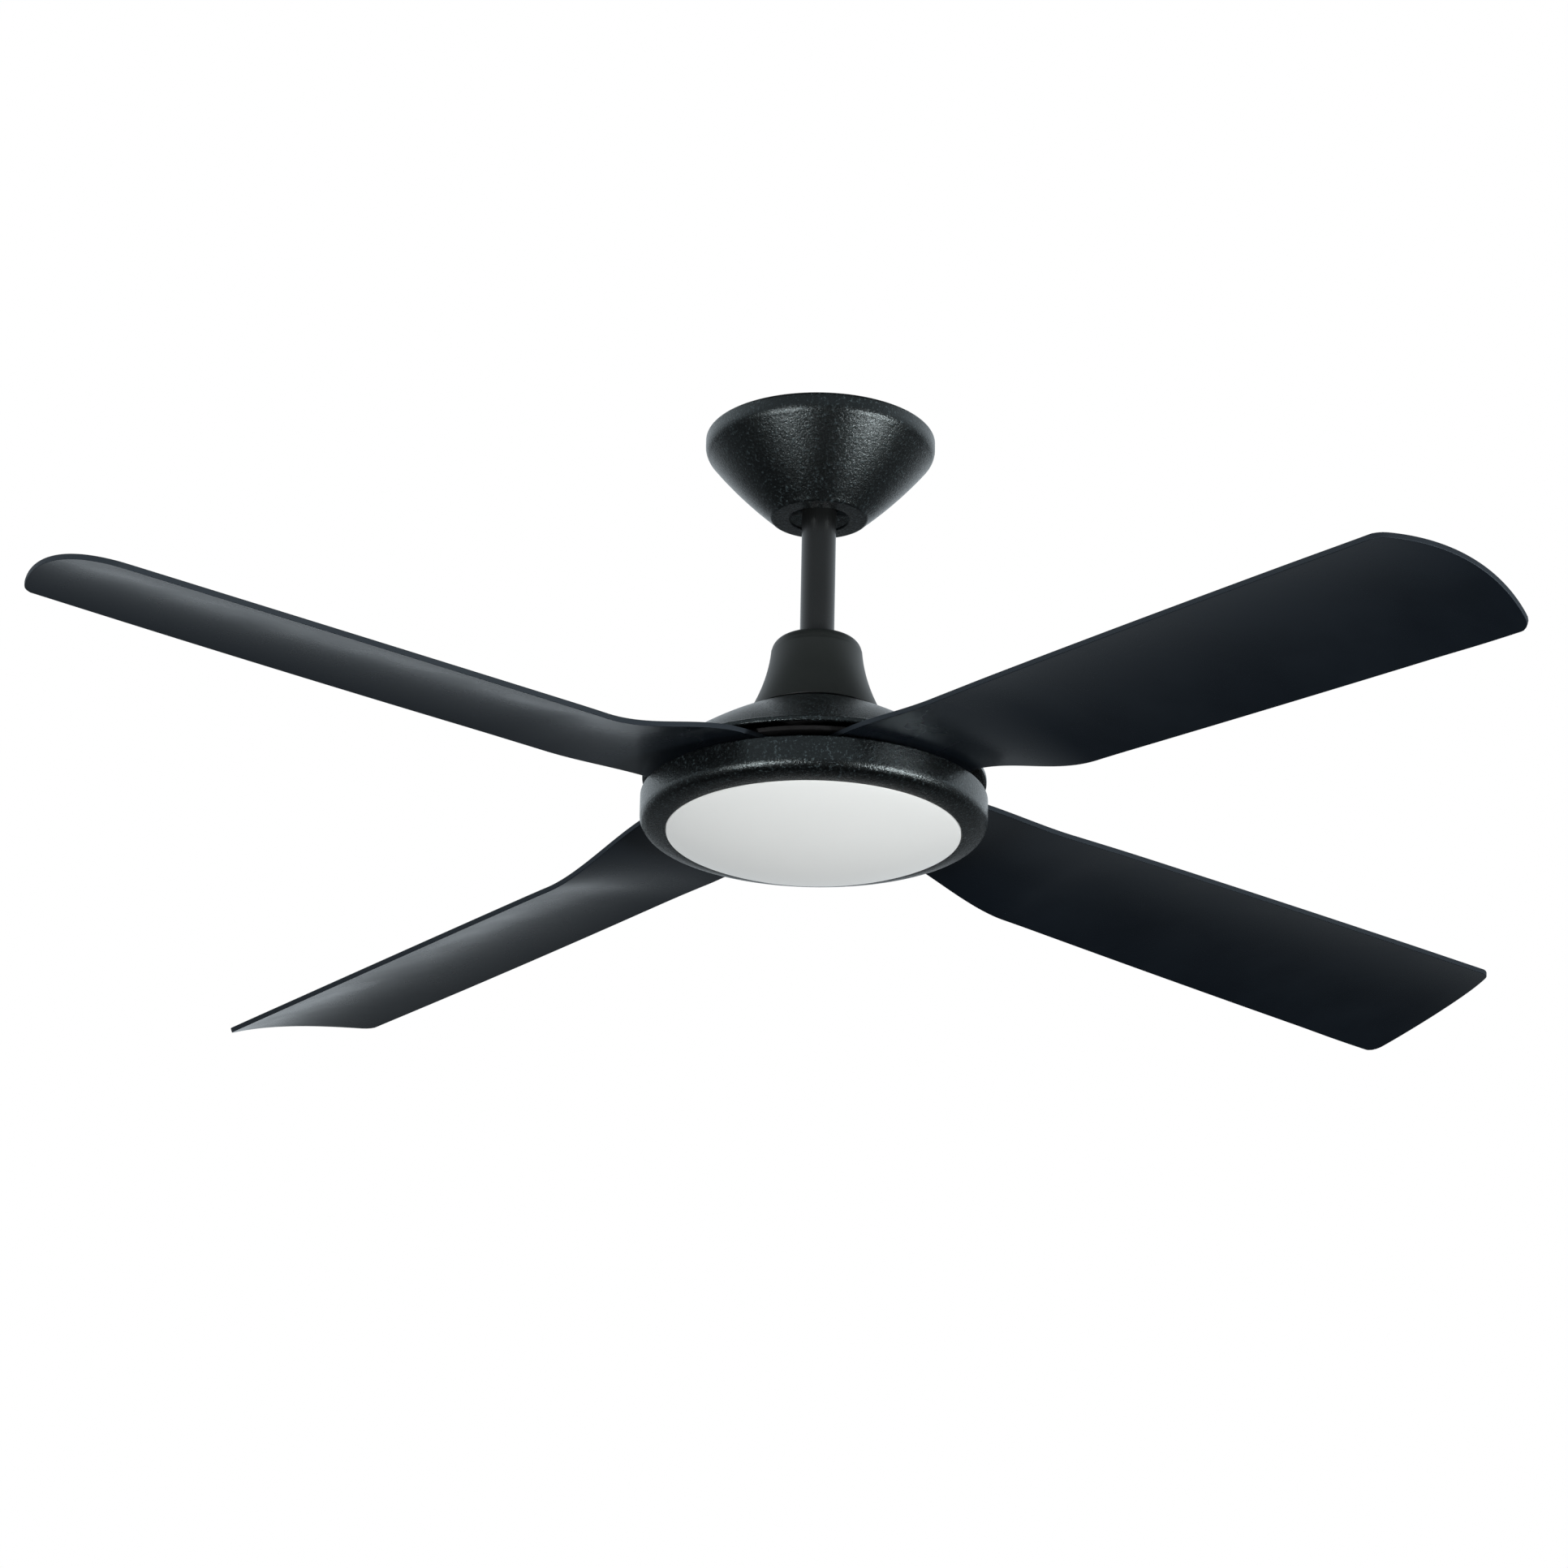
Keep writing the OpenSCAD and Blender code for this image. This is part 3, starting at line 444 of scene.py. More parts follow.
def opal_plastic(name):
    """Opal plastic that scatters the light inside, with a faint painted glow that brightens it."""
    base = colours().opal
    s = Shader(name, base, 0.42)
    s.tone(s.noise(9, 2, 0.5), base, 0.985, 1.01)
    s.bump(s.noise(1200, 2), 0.12, 0.00005)
    s.value("Subsurface Weight", 0.25)
    s.value("Subsurface Radius", (0.02, 0.02, 0.02))
    s.value("Subsurface Scale", 0.3)
    # Painted glow: a faint emission that brightens the diffuser's white
    s.value("Emission Color", (0.93, 0.955, 0.95, 1))
    s.value("Emission Strength", 0.32)
    return s.material


def worked_metal(name, base, rough, grain, stretch=(1, 1, 1)):
    """Machined, plated or drawn metal: fine lines one way and a slow change of tone."""
    s = Shader(name, base, rough, 1.0)
    lines = s.noise(grain, 4, 0.65, s.stretched(stretch))
    s.tone(s.noise(60, 3, 0.6), base, 0.88, 1.12)
    s.gloss(lines, rough - 0.07, rough + 0.1)
    s.bump(lines, 0.3, 0.00003)
    return s.material


def cast_metal(name, base, rough, metallic=1.0):
    """Cast surface: coarse lumps and a patchy tone."""
    s = Shader(name, base, rough, metallic)
    lumps = s.noise(350, 4, 0.6)
    s.tone(s.noise(45, 4, 0.6), base, 0.8, 1.15)
    s.gloss(lumps, rough - 0.1, rough + 0.12)
    s.bump(lumps, 0.5, 0.0003)
    return s.material


def laminations(name):
    """Stacked steel sheets, seen on edge."""
    s = Shader(name, (0.2, 0.21, 0.23), 0.42, 0.9)
    sheet_pitch = 3.2 * MM
    sheets = s.bands(1 / sheet_pitch)
    s.colour(s.ramp(sheets, [(0.1, (0.05, 0.05, 0.055)), (0.4, (0.24, 0.25, 0.27))]))
    s.bump(sheets, 0.6, 0.0001)
    return s.material


def wound_copper(name):
    """Varnished copper wire, wound in slightly uneven turns, with painted shade between the turns and
    a painted highlight on each turn.
    """
    painted_gap_shade, wire, highlight = (0.10, 0.03, 0.012), (0.55, 0.21, 0.07), (0.7, 0.32, 0.12)
    s = Shader(name, (0.5, 0.2, 0.07), 0.28, 0.75)
    wire_pitch = 4.4 * MM
    wires = s.bands(1 / wire_pitch, 0.3)
    # Painted shade in the gaps between turns, and a painted highlight on the crest of each turn
    s.colour(s.ramp(wires, [(0.05, painted_gap_shade), (0.5, wire), (0.95, highlight)]))
    s.bump(wires, 0.8, 0.0003)
    s.value("Coat Weight", 0.5)
    return s.material


def circuit_board(name, base, track):
    """Solder mask with the faint raised lines of its tracks."""
    s = Shader(name, base, 0.3)
    tracks = s.cells(260)
    s.colour(s.ramp(tracks, [(0.42, base), (0.5, track)]))
    s.bump(tracks, 0.2, 0.0001)
    s.value("Coat Weight", 0.3)
    return s.material


def rubber(name, base, rough=0.65):
    """Soft matte rubber or resin with a faint grain."""
    s = Shader(name, base, rough)
    s.tone(s.noise(120, 4, 0.6), base, 0.8, 1.25)
    s.bump(s.noise(1400, 3), 0.3, 0.0001)
    return s.material


def finishes():
    """One material for each of the record's slots: its maker and the maker's values."""
    c = colours()
    makers = {
        "black_powder_coat": (powder_coat,),
        "black_cover_plastic": (satin_plastic, c.cover, 0.46, 1100),
        "blade_black": (moulded_blade,),
        "rod_black": (painted_rod,),
        "opal_diffuser": (opal_plastic,),
        "zinc_plated_steel": (worked_metal, (0.62, 0.63, 0.65), 0.34, 500, (1, 0.1, 1)),
        "screw_steel": (worked_metal, (0.5, 0.51, 0.53), 0.3, 1500),
        "spring_steel": (worked_metal, (0.4, 0.4, 0.42), 0.32, 900, (0.1, 1, 1)),
        "ground_steel": (worked_metal, (0.66, 0.67, 0.68), 0.16, 1600, (1, 1, 0.1)),
        "brass": (worked_metal, (0.72, 0.54, 0.24), 0.28, 1500),
        "black_screw": (worked_metal, (0.03, 0.032, 0.034), 0.4, 1500),
        "cast_iron": (cast_metal, (0.07, 0.07, 0.075), 0.55),
        "black_cast_cover": (cast_metal, (0.006, 0.006, 0.0065), 0.6, 0.0),
        "magnet_ferrite": (cast_metal, (0.06, 0.06, 0.065), 0.5, 0.4),
        "lamination_steel": (laminations,),
        "copper_winding": (wound_copper,),
        "white_sheet": (satin_plastic, (0.78, 0.79, 0.79), 0.35, 700),
        "white_driver_case": (satin_plastic, (0.72, 0.73, 0.73), 0.5, 600, 0.0001),
        "ivory_plastic": (satin_plastic, (0.74, 0.7, 0.58), 0.4, 600, 0.0001),
        "black_nylon": (satin_plastic, (0.02, 0.02, 0.022), 0.45, 800),
        "white_board": (circuit_board, (0.8, 0.81, 0.82), (0.72, 0.73, 0.74)),
        "green_board": (circuit_board, (0.02, 0.17, 0.07), (0.03, 0.25, 0.1)),
        "led_phosphor": (rubber, (0.78, 0.62, 0.16), 0.35),
        "cable_sheath": (rubber, (0.16, 0.16, 0.17), 0.5),
        "grommet_rubber": (rubber, (0.015, 0.015, 0.015)),
    }
    return {slot: maker(slot, *values) for slot, (maker, *values) in makers.items()}


# ---------------------------------------------------------------- turned pieces, outlines in mm

def canopy_outline():
    """A short upright rim, a round shoulder, a slightly bowed cone and a small rounded foot."""
    rim = sizes().canopy_radius / MM
    high, low = top("canopy") / MM, floor_of("canopy") / MM
    wall = 1.6
    hole, hole_edge = 22.2, 0.6
    rim_round, rim_face = 3.0, 0.7
    shoulder, shoulder_z = 11.0, -8.5
    cone_top, cone_foot, cone_bow = (rim - 4.8, -18.4), (36.4, low + 1.6), 1.3
    foot, foot_r = 2.8, 33.8
    outside = [(rim - rim_round - rim_face, high)]
    outside += arc(rim - rim_round, high - rim_round, rim_round, 90, 0, 8)
    outside += arc(rim - shoulder, shoulder_z, shoulder, 0, -43, 14)
    outside += bow(cone_top, cone_foot, -cone_bow, 26)
    outside += arc(foot_r, low + foot, foot, -50, -90, 4)
    inside = [(hole + hole_edge, low), (hole, low + hole_edge)]
    inside += [(hole, low + wall), (foot_r - hole_edge, low + wall)]
    inner_foot, inner_top = (cone_foot[0] - 1.1, low + foot), (cone_top[0] - 1.2, -17.3)
    inside += bow(inner_foot, inner_top, cone_bow, 20)
    inside += arc(rim - shoulder, shoulder_z, shoulder - wall, -41, 0, 8)
    return outside + inside


BELL_TOP_R, BELL_TOP_Z = 33.0, -170.0
BELL_SLOPE, BELL_FLARE = 0.085, 0.0045


def bell_radius(z, inset=0.0):
    """Radius of the coupling cover's skirt at height z, less the inset."""
    depth = BELL_TOP_Z - z
    return BELL_TOP_R - inset + BELL_SLOPE * depth + BELL_FLARE * depth * depth


def coupling_cover_outline():
    """A rounded shoulder around the rod and a skirt that flares towards the motor."""
    high, low = top("coupling_cover") / MM, floor_of("coupling_cover") / MM
    hole = sizes().rod_radius / MM + 0.9
    wall, foot = 2.0, 0.6
    shoulder, shoulder_r, shoulder_z = 10.5, 22.4, -171.6
    rows = spread(BELL_TOP_Z - 0.5, low + foot, 30)
    outside = [(hole, high - 1.2), (hole + 0.6, high - 0.5)]
    outside += [(hole + 1.6, high - 0.2), (shoulder_r - 1.4, high - 0.3)]
    outside += arc(shoulder_r, shoulder_z, shoulder, 84, 8, 18)
    outside += [(bell_radius(z), z) for z in rows]
    outside += arc(bell_radius(low + foot) - foot, low + foot, foot, 0, -90, 4)
    inside = [(bell_radius(low) - wall, low)]
    inside += [(bell_radius(z, wall), z) for z in reversed(rows)]
    inside += arc(shoulder_r, shoulder_z, shoulder - wall, 8, 84, 12)
    inside += [(hole, high - wall)]
    return outside + inside


DOME_TOP_R, DOME_TOP_Z = 46.0, -220.5
DOME_SLOPE, DOME_FALL = 0.42, 0.0026


def dome_height(r):
    """Height of the top housing's outer face at radius r."""
    run = r - DOME_TOP_R
    return DOME_TOP_Z - DOME_SLOPE * run - DOME_FALL * run * run


def top_housing_outline():
    """A flat crown, a shallow dome and a thin upright rim with rounded corners."""
    rim = sizes().housing_radius / MM
    low, crown = floor_of("top_housing") / MM, top("top_housing") / MM
    skin, hole, crown_r = 2.0, 17.3, 36.0
    upper_round, lower_round = 0.9, 0.7
    radii = spread(crown_r + 2, rim - 1.6, 40)
    edge = dome_height(rim - 1.2)
    outside = [(hole, crown), (crown_r, crown)] + [(r, dome_height(r)) for r in radii]
    outside += arc(rim - upper_round, edge - 1.1, upper_round, 60, 0, 5)
    outside += arc(rim - lower_round, low + lower_round, lower_round, 0, -90, 5)
    inside = [(rim - skin, low), (rim - skin, edge - 2.2)]
    inside += [(r - 1, dome_height(r) - skin) for r in reversed(radii)]
    inside += [(hole, crown - skin)]
    return outside + inside


def light_ring_outline():
    """A flat pan with an upright wall that curves in to a thin lip around the diffuser."""
    r = sizes().ring_radius / MM
    high, lip_z = top("light_ring") / MM, -310.6
    lip = sizes().diffuser_radius / MM + 0.6
    hole, web, wall, top_round = 7.55, 1.8, 2.0, 1.2
    shoulder, wall_end = 8.0, -300.0
    outside = [(hole, high - web), (hole, high)]
    outside += arc(r - top_round, high - top_round, top_round, 90, 0, 6)
    outside += arc(r - shoulder, wall_end, shoulder, 0, -72, 16)
    outside += [(lip + 0.5, lip_z + 0.05), (lip + 0.15, lip_z + 0.15)]
    outside += [(lip, lip_z + 0.45), (lip, lip_z + wall)]
    inside = arc(r - shoulder, wall_end, shoulder - wall, -72, 0, 10)
    inside += [(r - wall, high - web)]
    return outside + inside


def diffuser_outline():
    """A shallow opal dome under a short upright rim."""
    r = sizes().diffuser_radius / MM
    high, low = top("diffuser") / MM, floor_of("diffuser") / MM
    rim, wall, rim_edge, pole = -311.0, 2.0, 0.3, 0.02
    inner = r - wall

    def height(x):
        return rim - (rim - low) * max(0.0, 1 - (x / r) ** 2) ** 0.9

    spots = [r * math.sin(math.radians(angle)) for angle in spread(0, 90, 40)]
    outside = [(max(x, pole), height(x)) for x in spots[:-1]]
    outside += [(r, rim + rim_edge), (r, high - rim_edge), (r - rim_edge, high), (inner, high)]
    inside = [(x * inner / r, height(x) + wall) for x in reversed(spots[1:])]
    inside += [(pole, low + wall)]
    return outside + inside


# ---------------------------------------------------------------- blades, in mm

# Along the blade, from the spin axis
ROOT_X, FLANGE_R = 80.0, 111.0
TWIST_START, LEAD_END, TWIST_END, ARCH_RUN = 102.0, 200.0, 238.0, 165.0
# Across the blade: half its width at the root and at the tip, and how far its sides bulge
ROOT_LEAD, ROOT_TRAIL, HALF_CHORD = 57.75, 53.75, 66.8
LEAD_BULGE, TRAIL_BULGE = 12.0, 6.0
# Heights of the root and of the outer trailing edge, and how far the leading edge drops
ROOT_Z, TRAIL_Z, TRAIL_TIP_Z = -276.3, -305.0, -314.3
LEAD_DROP, LEAD_TIP_DROP = 5.0, 5.5
# The tip is a wide arc between two rounded corners, beyond where the side edges are full width
TIP_ARC_R, TIP_ARC_T, TIP_CORNER, TIP_SPAN = 140.5, 6.0, 13.0, 17.0
# Taken off the tip, so that the lifted and twisted tips stay inside the CAD box
TIP_TRIM = 1.1
# The part of the length after which the grid's rows take up the tip's outline
TIP_BLEND = 0.86
THICKNESS, EDGE_ROUND = 3.8, 0.5
COLUMNS, ROWS = 44, 110
# How far each blade's tip stands above its designed height, and how much more it is twisted
TIP_LIFT = (3.0, -2.0, 7.0, -12.5)
TIP_TWIST = (1.5, 5.5, 1.0, 0.0)


def blade_edges(x, tip_x):
    """Across positions of the leading and trailing side edges at x."""
    f = clamp01((x - ROOT_X) / (tip_x - ROOT_X))
    bulge = f * (1 - f)
    lead = -mix(ROOT_LEAD, HALF_CHORD, f) - LEAD_BULGE * bulge
    return lead, mix(ROOT_TRAIL, HALF_CHORD, f) + TRAIL_BULGE * bulge


def across(t):
    """Where t lies across the full width, 0 at the leading edge and 1 at the trailing one."""
    return (t + HALF_CHORD) / (2 * HALF_CHORD)


def blade_height(x, t, tip_x):
    """Mid-plane height: level at the root, then twisted and arched."""
    lead = ROOT_Z - LEAD_DROP * ease((x - TWIST_START) / (LEAD_END - TWIST_START))
    lead -= LEAD_TIP_DROP * clamp01((x - LEAD_END) / (tip_x - LEAD_END))
    outer = mix(TRAIL_Z, TRAIL_TIP_Z, clamp01((x - TWIST_END) / (tip_x - TWIST_END)))
    trail = mix(ROOT_Z, outer, ease((x - TWIST_START) / (TWIST_END - TWIST_START)))
    f = across(t)
    arch = sizes().camber / MM * ease((x - TWIST_START) / ARCH_RUN)
    return mix(lead, trail, f) + arch * 4 * clamp01(f) * (1 - clamp01(f))


def tip_corner(side, arc_x):
    """A corner from its side edge to the tip arc, and the arc's angle where it ends."""
    # The corner's circle touches the side edge and the tip arc from inside
    t = side * (HALF_CHORD - TIP_CORNER)
    x = arc_x + math.sqrt((TIP_ARC_R - TIP_CORNER) ** 2 - (t - TIP_ARC_T) ** 2)
    end = math.atan2(t - TIP_ARC_T, x - arc_x)
    turns = spread(side * math.pi / 2, end, 8)
    return [(x + TIP_CORNER * math.cos(a), t + TIP_CORNER * math.sin(a)) for a in turns], end


def even_points(line, count):
    """Points at count equal steps along a line of points."""
    lengths = [0.0]
    for a, b in zip(line, line[1:]):
        lengths.append(lengths[-1] + math.dist(a, b))
    points = []
    for goal in spread(0, lengths[-1], count):
        k = max(j for j in range(len(line) - 1) if lengths[j] <= goal + 1e-9)
        f = (goal - lengths[k]) / (lengths[k + 1] - lengths[k])
        points.append((mix(line[k][0], line[k + 1][0], f), mix(line[k][1], line[k + 1][1], f)))
    return points


def tip_outline(tip_r):
    """Points round the tip from the leading side edge to the trailing one."""
    arc_x = tip_r - TIP_ARC_R
    lead, lead_end = tip_corner(-1, arc_x)
    trail, trail_end = tip_corner(1, arc_x)
    middle = [
        (arc_x + TIP_ARC_R * math.cos(a), TIP_ARC_T + TIP_ARC_R * math.sin(a))
        for a in spread(lead_end, trail_end, 40)[1:-1]]
    return even_points(lead + middle + trail[::-1], COLUMNS)


def make_blade():
    """One blade along +X: a flat grid, shaped by the blade's lines, then given its thickness."""
    tip_r = sizes().tip_radius / MM - TIP_TRIM
    tip_x = tip_r - TIP_SPAN
    deselect()
    bpy.ops.mesh.primitive_grid_add(
        x_subdivisions=ROWS, y_subdivisions=COLUMNS, size=2, location=(0, 0, 0))
    piece = bpy.context.active_object
    tip = tip_outline(tip_r)
    for vertex in piece.data.vertices:
        u, v = (vertex.co.x + 1) / 2, (vertex.co.y + 1) / 2
        end_x, end_t = tip[round(v * COLUMNS)]
        x = mix(ROOT_X, end_x, u)
        t = mix(mix(*blade_edges(x, tip_x), v), end_t, ease((u - TIP_BLEND) / (1 - TIP_BLEND)))
        vertex.co = Vector((x * MM, t * MM, blade_height(x, t, tip_x) * MM))
    bpy.ops.object.mode_set(mode="EDIT")
    bpy.ops.mesh.select_all(action="SELECT")
    bpy.ops.mesh.normals_make_consistent(inside=False)
    bpy.ops.object.mode_set(mode="OBJECT")
    wall = piece.modifiers.new("wall", "SOLIDIFY")
    wall.thickness = THICKNESS * MM
    wall.offset = 0
    wall.use_even_offset = True
    apply_modifiers(piece)
    soften_edges(piece, EDGE_ROUND, 50)
    return piece


def set_blade(piece, lift, twist):
    """Lifts and twists one blade that still lies along +X."""
    tip_r = sizes().tip_radius / MM
    for vertex in piece.data.vertices:
        x, t = vertex.co.x / MM, vertex.co.y / MM
        rise = lift * clamp01((x - FLANGE_R) / (tip_r - FLANGE_R))
        turned = ease((x - TWIST_START) / (TWIST_END - TWIST_START))
        rise += twist * (0.5 - across(t)) * turned
        vertex.co.z += rise * MM


# ---------------------------------------------------------------- operators

class FAN_OT_finishes(bpy.types.Operator):
    """Makes the finishes and gives each carried-over node the one of its slot"""
    bl_idname = "fan.finishes"
    bl_label = "Finishes"

    def execute(self, context):
        MATERIALS.update(finishes())
        for entry in frame["record"]["subparts"]:
            node = frame["nodes"][entry["node"]]
            node.data.materials.clear()
            node.data.materials.append(MATERIALS[entry["material_slot"]])
        return {"FINISHED"}


class FAN_OT_canopy(bpy.types.Operator):
    """Turns the canopy that covers the hanger bracket"""
    bl_idname = "fan.canopy"
    bl_label = "Canopy"

    def execute(self, context):
        piece = turn("canopy_shell", canopy_outline())
        fit_out(piece, "ceiling_side", "black_powder_coat", "canopy")
        return {"FINISHED"}


class FAN_OT_coupling_cover(bpy.types.Operator):
    """Turns the flared cover over the joint between rod and motor"""
    bl_idname = "fan.coupling_cover"
    bl_label = "Coupling cover"

    def execute(self, context):
        piece = turn("coupling_cover_shell", coupling_cover_outline())
        fit_out(piece, "hanging_unit", "black_cover_plastic", "coupling_cover")
        return {"FINISHED"}


class FAN_OT_top_housing(bpy.types.Operator):
    """Turns the dome over the motor"""
    bl_idname = "fan.top_housing"
    bl_label = "Top housing"

    def execute(self, context):
        piece = turn("top_housing_shell", top_housing_outline())
        fit_out(piece, "hanging_unit", "black_powder_coat", "top_housing")
        return {"FINISHED"}


class FAN_OT_light_ring(bpy.types.Operator):
    """Turns the ring that holds the light"""
    bl_idname = "fan.light_ring"
    bl_label = "Light ring"

    def execute(self, context):
        piece = turn("light_ring_pan", light_ring_outline())
        fit_out(piece, "hanging_unit", "black_powder_coat", "light_ring")
        return {"FINISHED"}


class FAN_OT_diffuser(bpy.types.Operator):
    """Turns the opal diffuser"""
    bl_idname = "fan.diffuser"
    bl_label = "Diffuser"

    def execute(self, context):
        piece = turn("diffuser_dome", diffuser_outline())
        fit_out(piece, "diffuser_unit", "opal_diffuser", "diffuser")
        return {"FINISHED"}


class FAN_OT_blades(bpy.types.Operator):
    """Models one blade and copies it around the rotor"""
    bl_idname = "fan.blades"
    bl_label = "Blades"

    def execute(self, context):
        pieces = [make_blade()]
        while len(pieces) < BLADE_COUNT:
            piece = pieces[0].copy()
            piece.data = pieces[0].data.copy()
            context.scene.collection.objects.link(piece)
            pieces.append(piece)
        for index, (piece, lift, twist) in enumerate(zip(pieces, TIP_LIFT, TIP_TWIST)):
            piece.name = f"blade_skin_{index + 1}"
            set_blade(piece, lift, twist)
            pick(piece)
            piece.rotation_euler.z = sizes().blade_angle + index * 2 * math.pi / BLADE_COUNT
            bpy.ops.object.transform_apply(location=False, rotation=True, scale=False)
            fit_out(piece, "rotor", "blade_black", f"blade_{index + 1}")
        return {"FINISHED"}


# ---------------------------------------------------------------- studio

# The camera looks up at the middle of the fan, from in front and below
CAMERA_MIDDLE = Vector((0, 0, -0.311))
CAMERA_DISTANCE = 4.103
CAMERA_ELEVATION = math.radians(20.6)
CAMERA_TILT, CAMERA_PAN, CAMERA_ROLL = math.radians(0.5), math.radians(0.303), math.radians(1.05)
# Focal length over the frame's width
CAMERA_ZOOM = 7060 / 1932

# Each soft light: name, place, where it points, width and height, power, and whether it glints
LIGHTS = (
    ("front_left", (-1.15, -1.62, -1.2), (0, 0, -0.15), (0.3, 0.44), 28, True),
    ("front_right", (1.7, -1.12, -1.22), (0, 0, -0.15), (0.3, 0.44), 40, True),
    ("overhead", (0, -0.3, 2.4), (0, -0.3, 0), (2.4, 2.4), 90, False),
)

# Brightness of the surround by the height of the direction, straight down (-1) to straight up (1)
SURROUND = (
    (-1.0, 0.01), (-0.75, 0.012), (-0.62, 0.03), (-0.45, 0.12), (-0.12, 0.2), (-0.03, 0.45),
    (0.04, 1.0), (0.6, 1.0), (0.72, 0.3), (0.8, 0.05), (1.0, 0.08),
)
SURROUND_TINT = (0.86, 0.94, 1.0, 1)
# The camera's side of the surround is dimmer, over this range of the direction's Y
FRONT_LEVEL, FRONT_START, FRONT_END = 0.42, -0.6, 0.2

# The floor lies far below, so that it doesn't hide the fan from a low camera
FLOOR_SIZE, FLOOR_Z, FLOOR_GLOW = 80.0, -7.0, 0.6


def place_camera(scene):
    data = bpy.data.cameras.new("camera")
    data.sensor_width = 36
    data.lens = CAMERA_ZOOM * data.sensor_width
    data.clip_end = 50
    camera = bpy.data.objects.new("camera", data)
    scene.collection.objects.link(camera)
    back = Vector((0, -math.cos(CAMERA_ELEVATION), -math.sin(CAMERA_ELEVATION)))
    camera.location = CAMERA_MIDDLE + back * CAMERA_DISTANCE
    camera.rotation_euler = (math.pi / 2 + CAMERA_ELEVATION, 0, 0)
    camera.rotation_euler.rotate_axis("X", CAMERA_TILT)
    camera.rotation_euler.rotate_axis("Y", CAMERA_PAN)
    camera.rotation_euler.rotate_axis("Z", CAMERA_ROLL)
    scene.camera = camera


def area_light(name, place, aim, size, power, glints):
    data = bpy.data.lights.new(name, "AREA")
    data.shape = "RECTANGLE"
    data.size, data.size_y = size
    data.energy = power
    lamp = bpy.data.objects.new(name, data)
    bpy.context.scene.collection.objects.link(lamp)
    lamp.location = place
    lamp.rotation_euler = (Vector(aim) - Vector(place)).to_track_quat("-Z", "Y").to_euler()
    lamp.visible_glossy = glints


def build_surround(scene):
    """White behind the fan; for its light and reflections a pale band over a dim floor and roof."""
    world = bpy.data.worlds.new("surround")
    scene.world = world
    world.use_nodes = True
    nodes, links = world.node_tree.nodes, world.node_tree.links
    direction = nodes.new("ShaderNodeTexCoord")
    split = nodes.new("ShaderNodeSeparateXYZ")
    links.new(direction.outputs["Generated"], split.inputs["Vector"])
    height = nodes.new("ShaderNodeMapRange")
    height.inputs["From Min"].default_value = -1.0
    links.new(split.outputs["Z"], height.inputs["Value"])
    ramp = nodes.new("ShaderNodeValToRGB")
    stops = [((z + 1) / 2, (level, level, level)) for z, level in SURROUND]
    fill_ramp(ramp.color_ramp.elements, stops)
    links.new(height.outputs["Result"], ramp.inputs["Fac"])
    front = nodes.new("ShaderNodeMapRange")
    for socket, value in zip(RANGE_SOCKETS, (FRONT_START, FRONT_END, FRONT_LEVEL, 1.0)):
        front.inputs[socket].default_value = value
    links.new(split.outputs["Y"], front.inputs["Value"])
    strength = nodes.new("ShaderNodeMath")
    strength.operation = "MULTIPLY"
    links.new(ramp.outputs["Color"], strength.inputs[0])
    links.new(front.outputs["Result"], strength.inputs[1])
    around = nodes["Background"]
    around.inputs["Color"].default_value = SURROUND_TINT
    links.new(strength.outputs["Value"], around.inputs["Strength"])
    behind = nodes.new("ShaderNodeBackground")
    behind.inputs["Color"].default_value = (1, 1, 1, 1)
    path = nodes.new("ShaderNodeLightPath")
    either = nodes.new("ShaderNodeMixShader")
    links.new(path.outputs["Is Camera Ray"], either.inputs["Fac"])
    links.new(around.outputs["Background"], either.inputs[1])
    links.new(behind.outputs["Background"], either.inputs[2])
    links.new(either.outputs["Shader"], nodes["World Output"].inputs["Surface"])


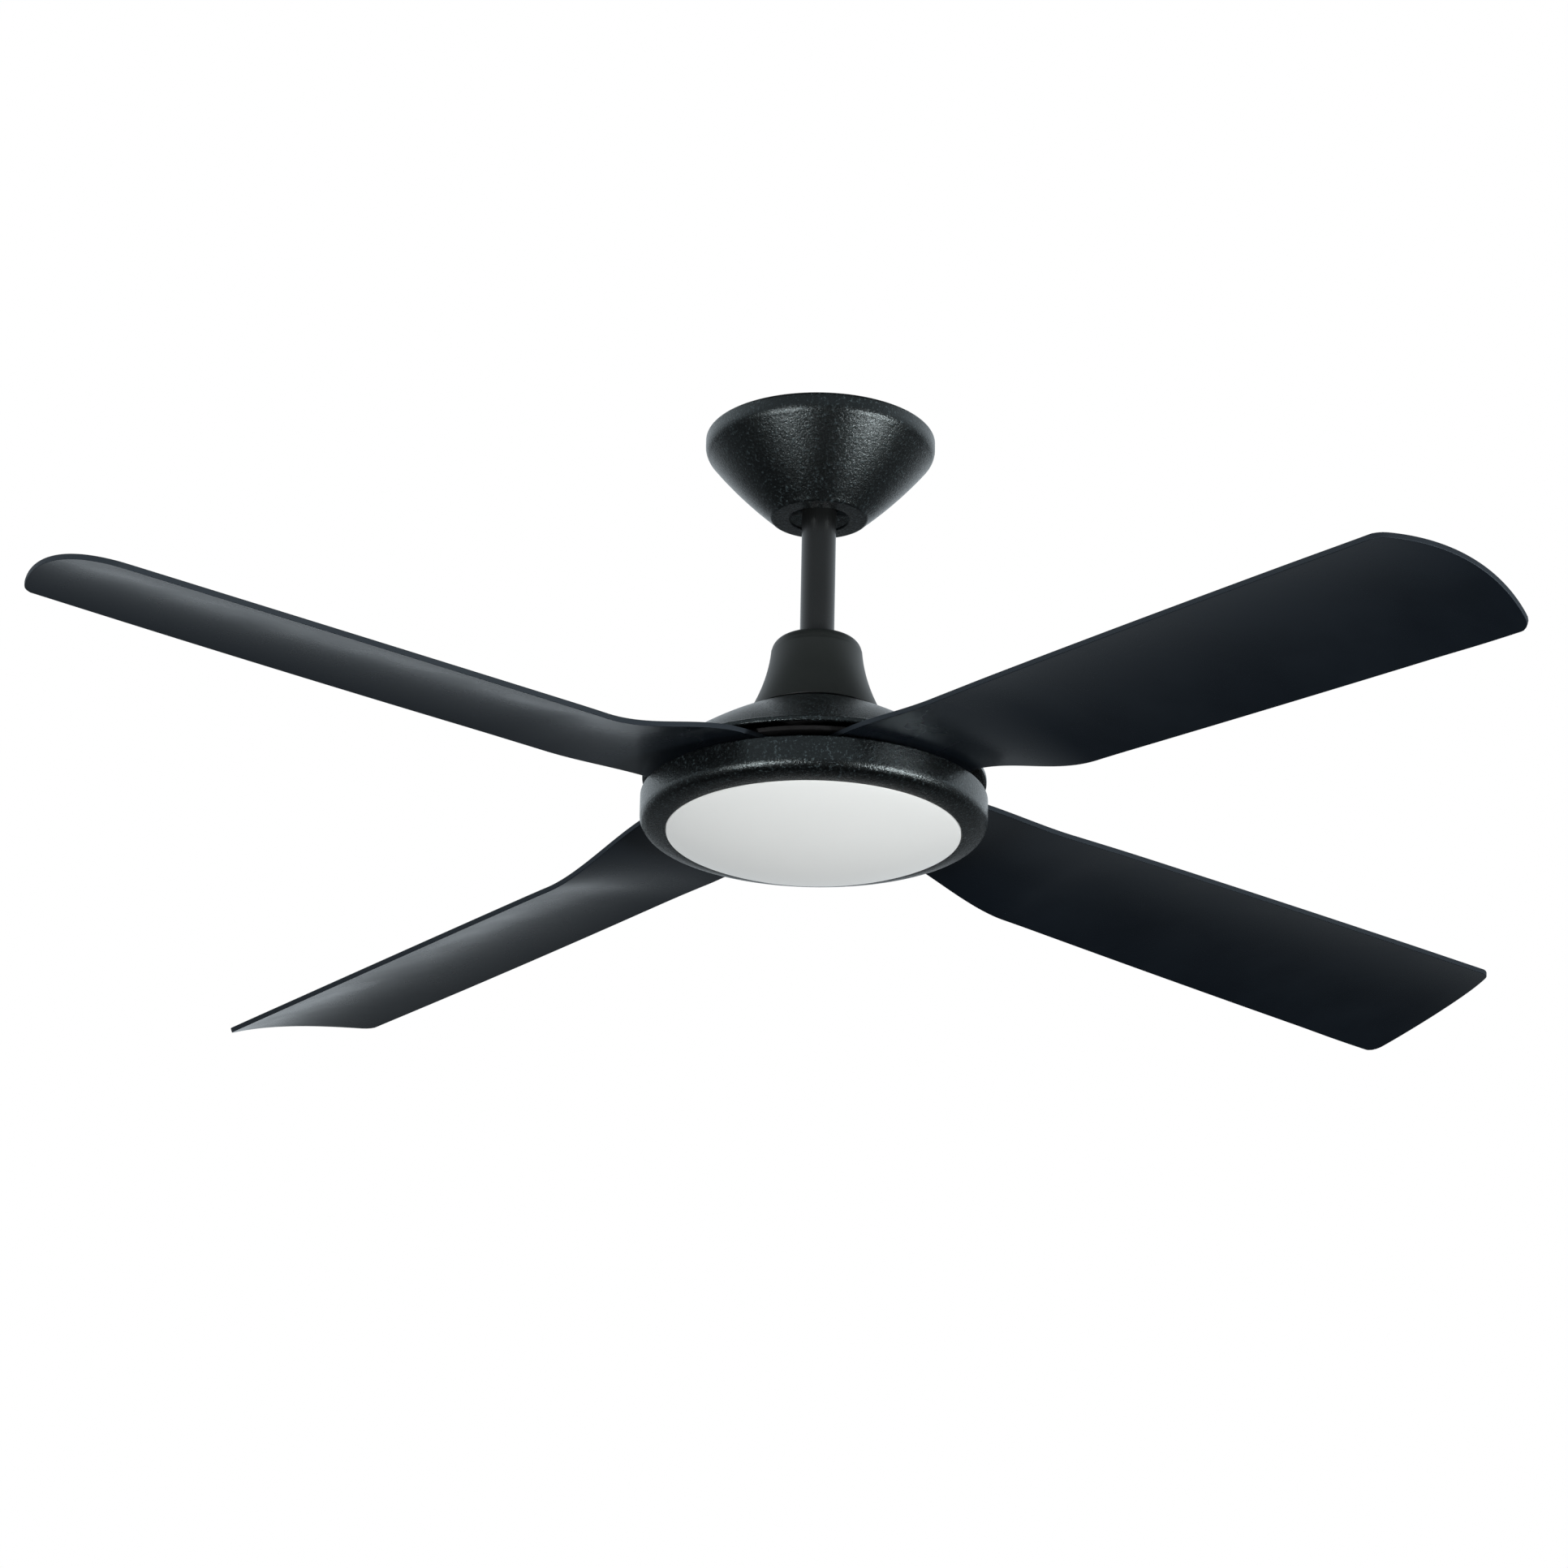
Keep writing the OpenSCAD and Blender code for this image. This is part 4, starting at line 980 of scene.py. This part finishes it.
def lay_floor():
    """A wide pale floor, which neither shows in the fan's gloss nor lights it."""
    deselect()
    bpy.ops.mesh.primitive_plane_add(size=FLOOR_SIZE, location=(0, 0, FLOOR_Z))
    floor = bpy.context.active_object
    floor.name = "studio_floor"
    floor.visible_glossy = False
    floor.visible_diffuse = False
    paint = Shader("studio_floor", (0.8, 0.8, 0.8), 0.8)
    stops = [(0.3, (0.79, 0.79, 0.79)), (0.7, (0.81, 0.81, 0.81))]
    paint.colour(paint.ramp(paint.noise(3, 2), stops))
    paint.value("Emission Color", (1, 1, 1, 1))
    paint.value("Emission Strength", FLOOR_GLOW)
    floor.data.materials.append(paint.material)


class FAN_OT_studio(bpy.types.Operator):
    """Sets the camera, the soft lights, the pale floor and the white surround"""
    bl_idname = "fan.studio"
    bl_label = "Studio"

    def execute(self, context):
        context.scene.view_settings.view_transform = "Standard"
        place_camera(context.scene)
        build_surround(context.scene)
        for light in LIGHTS:
            area_light(*light)
        lay_floor()
        return {"FINISHED"}


class FAN_PT_panel(bpy.types.Panel):
    """Lists the steps that build the fan"""
    bl_label = "Ceiling fan"
    bl_idname = "FAN_PT_panel"
    bl_space_type = "VIEW_3D"
    bl_region_type = "UI"
    bl_category = "Ceiling Fan"

    def draw(self, context):
        column = self.layout.column()
        for step in STEPS:
            column.operator(step.bl_idname)


STEPS = (FAN_OT_finishes, FAN_OT_canopy, FAN_OT_coupling_cover, FAN_OT_top_housing, FAN_OT_light_ring,
         FAN_OT_diffuser, FAN_OT_blades, FAN_OT_studio)
CLASSES = (FanSizes, FanColours) + STEPS + (FAN_PT_panel,)


def register():
    for cls in CLASSES:
        bpy.utils.register_class(cls)
    bpy.types.Scene.fan_sizes = PointerProperty(type=FanSizes)
    bpy.types.Scene.fan_colours = PointerProperty(type=FanColours)


def unregister():
    del bpy.types.Scene.fan_colours
    del bpy.types.Scene.fan_sizes
    for cls in reversed(CLASSES):
        bpy.utils.unregister_class(cls)


def main():
    register()
    for step in STEPS:
        group, action = step.bl_idname.split(".")
        getattr(getattr(bpy.ops, group), action)()


if __name__ == "__main__":
    main()
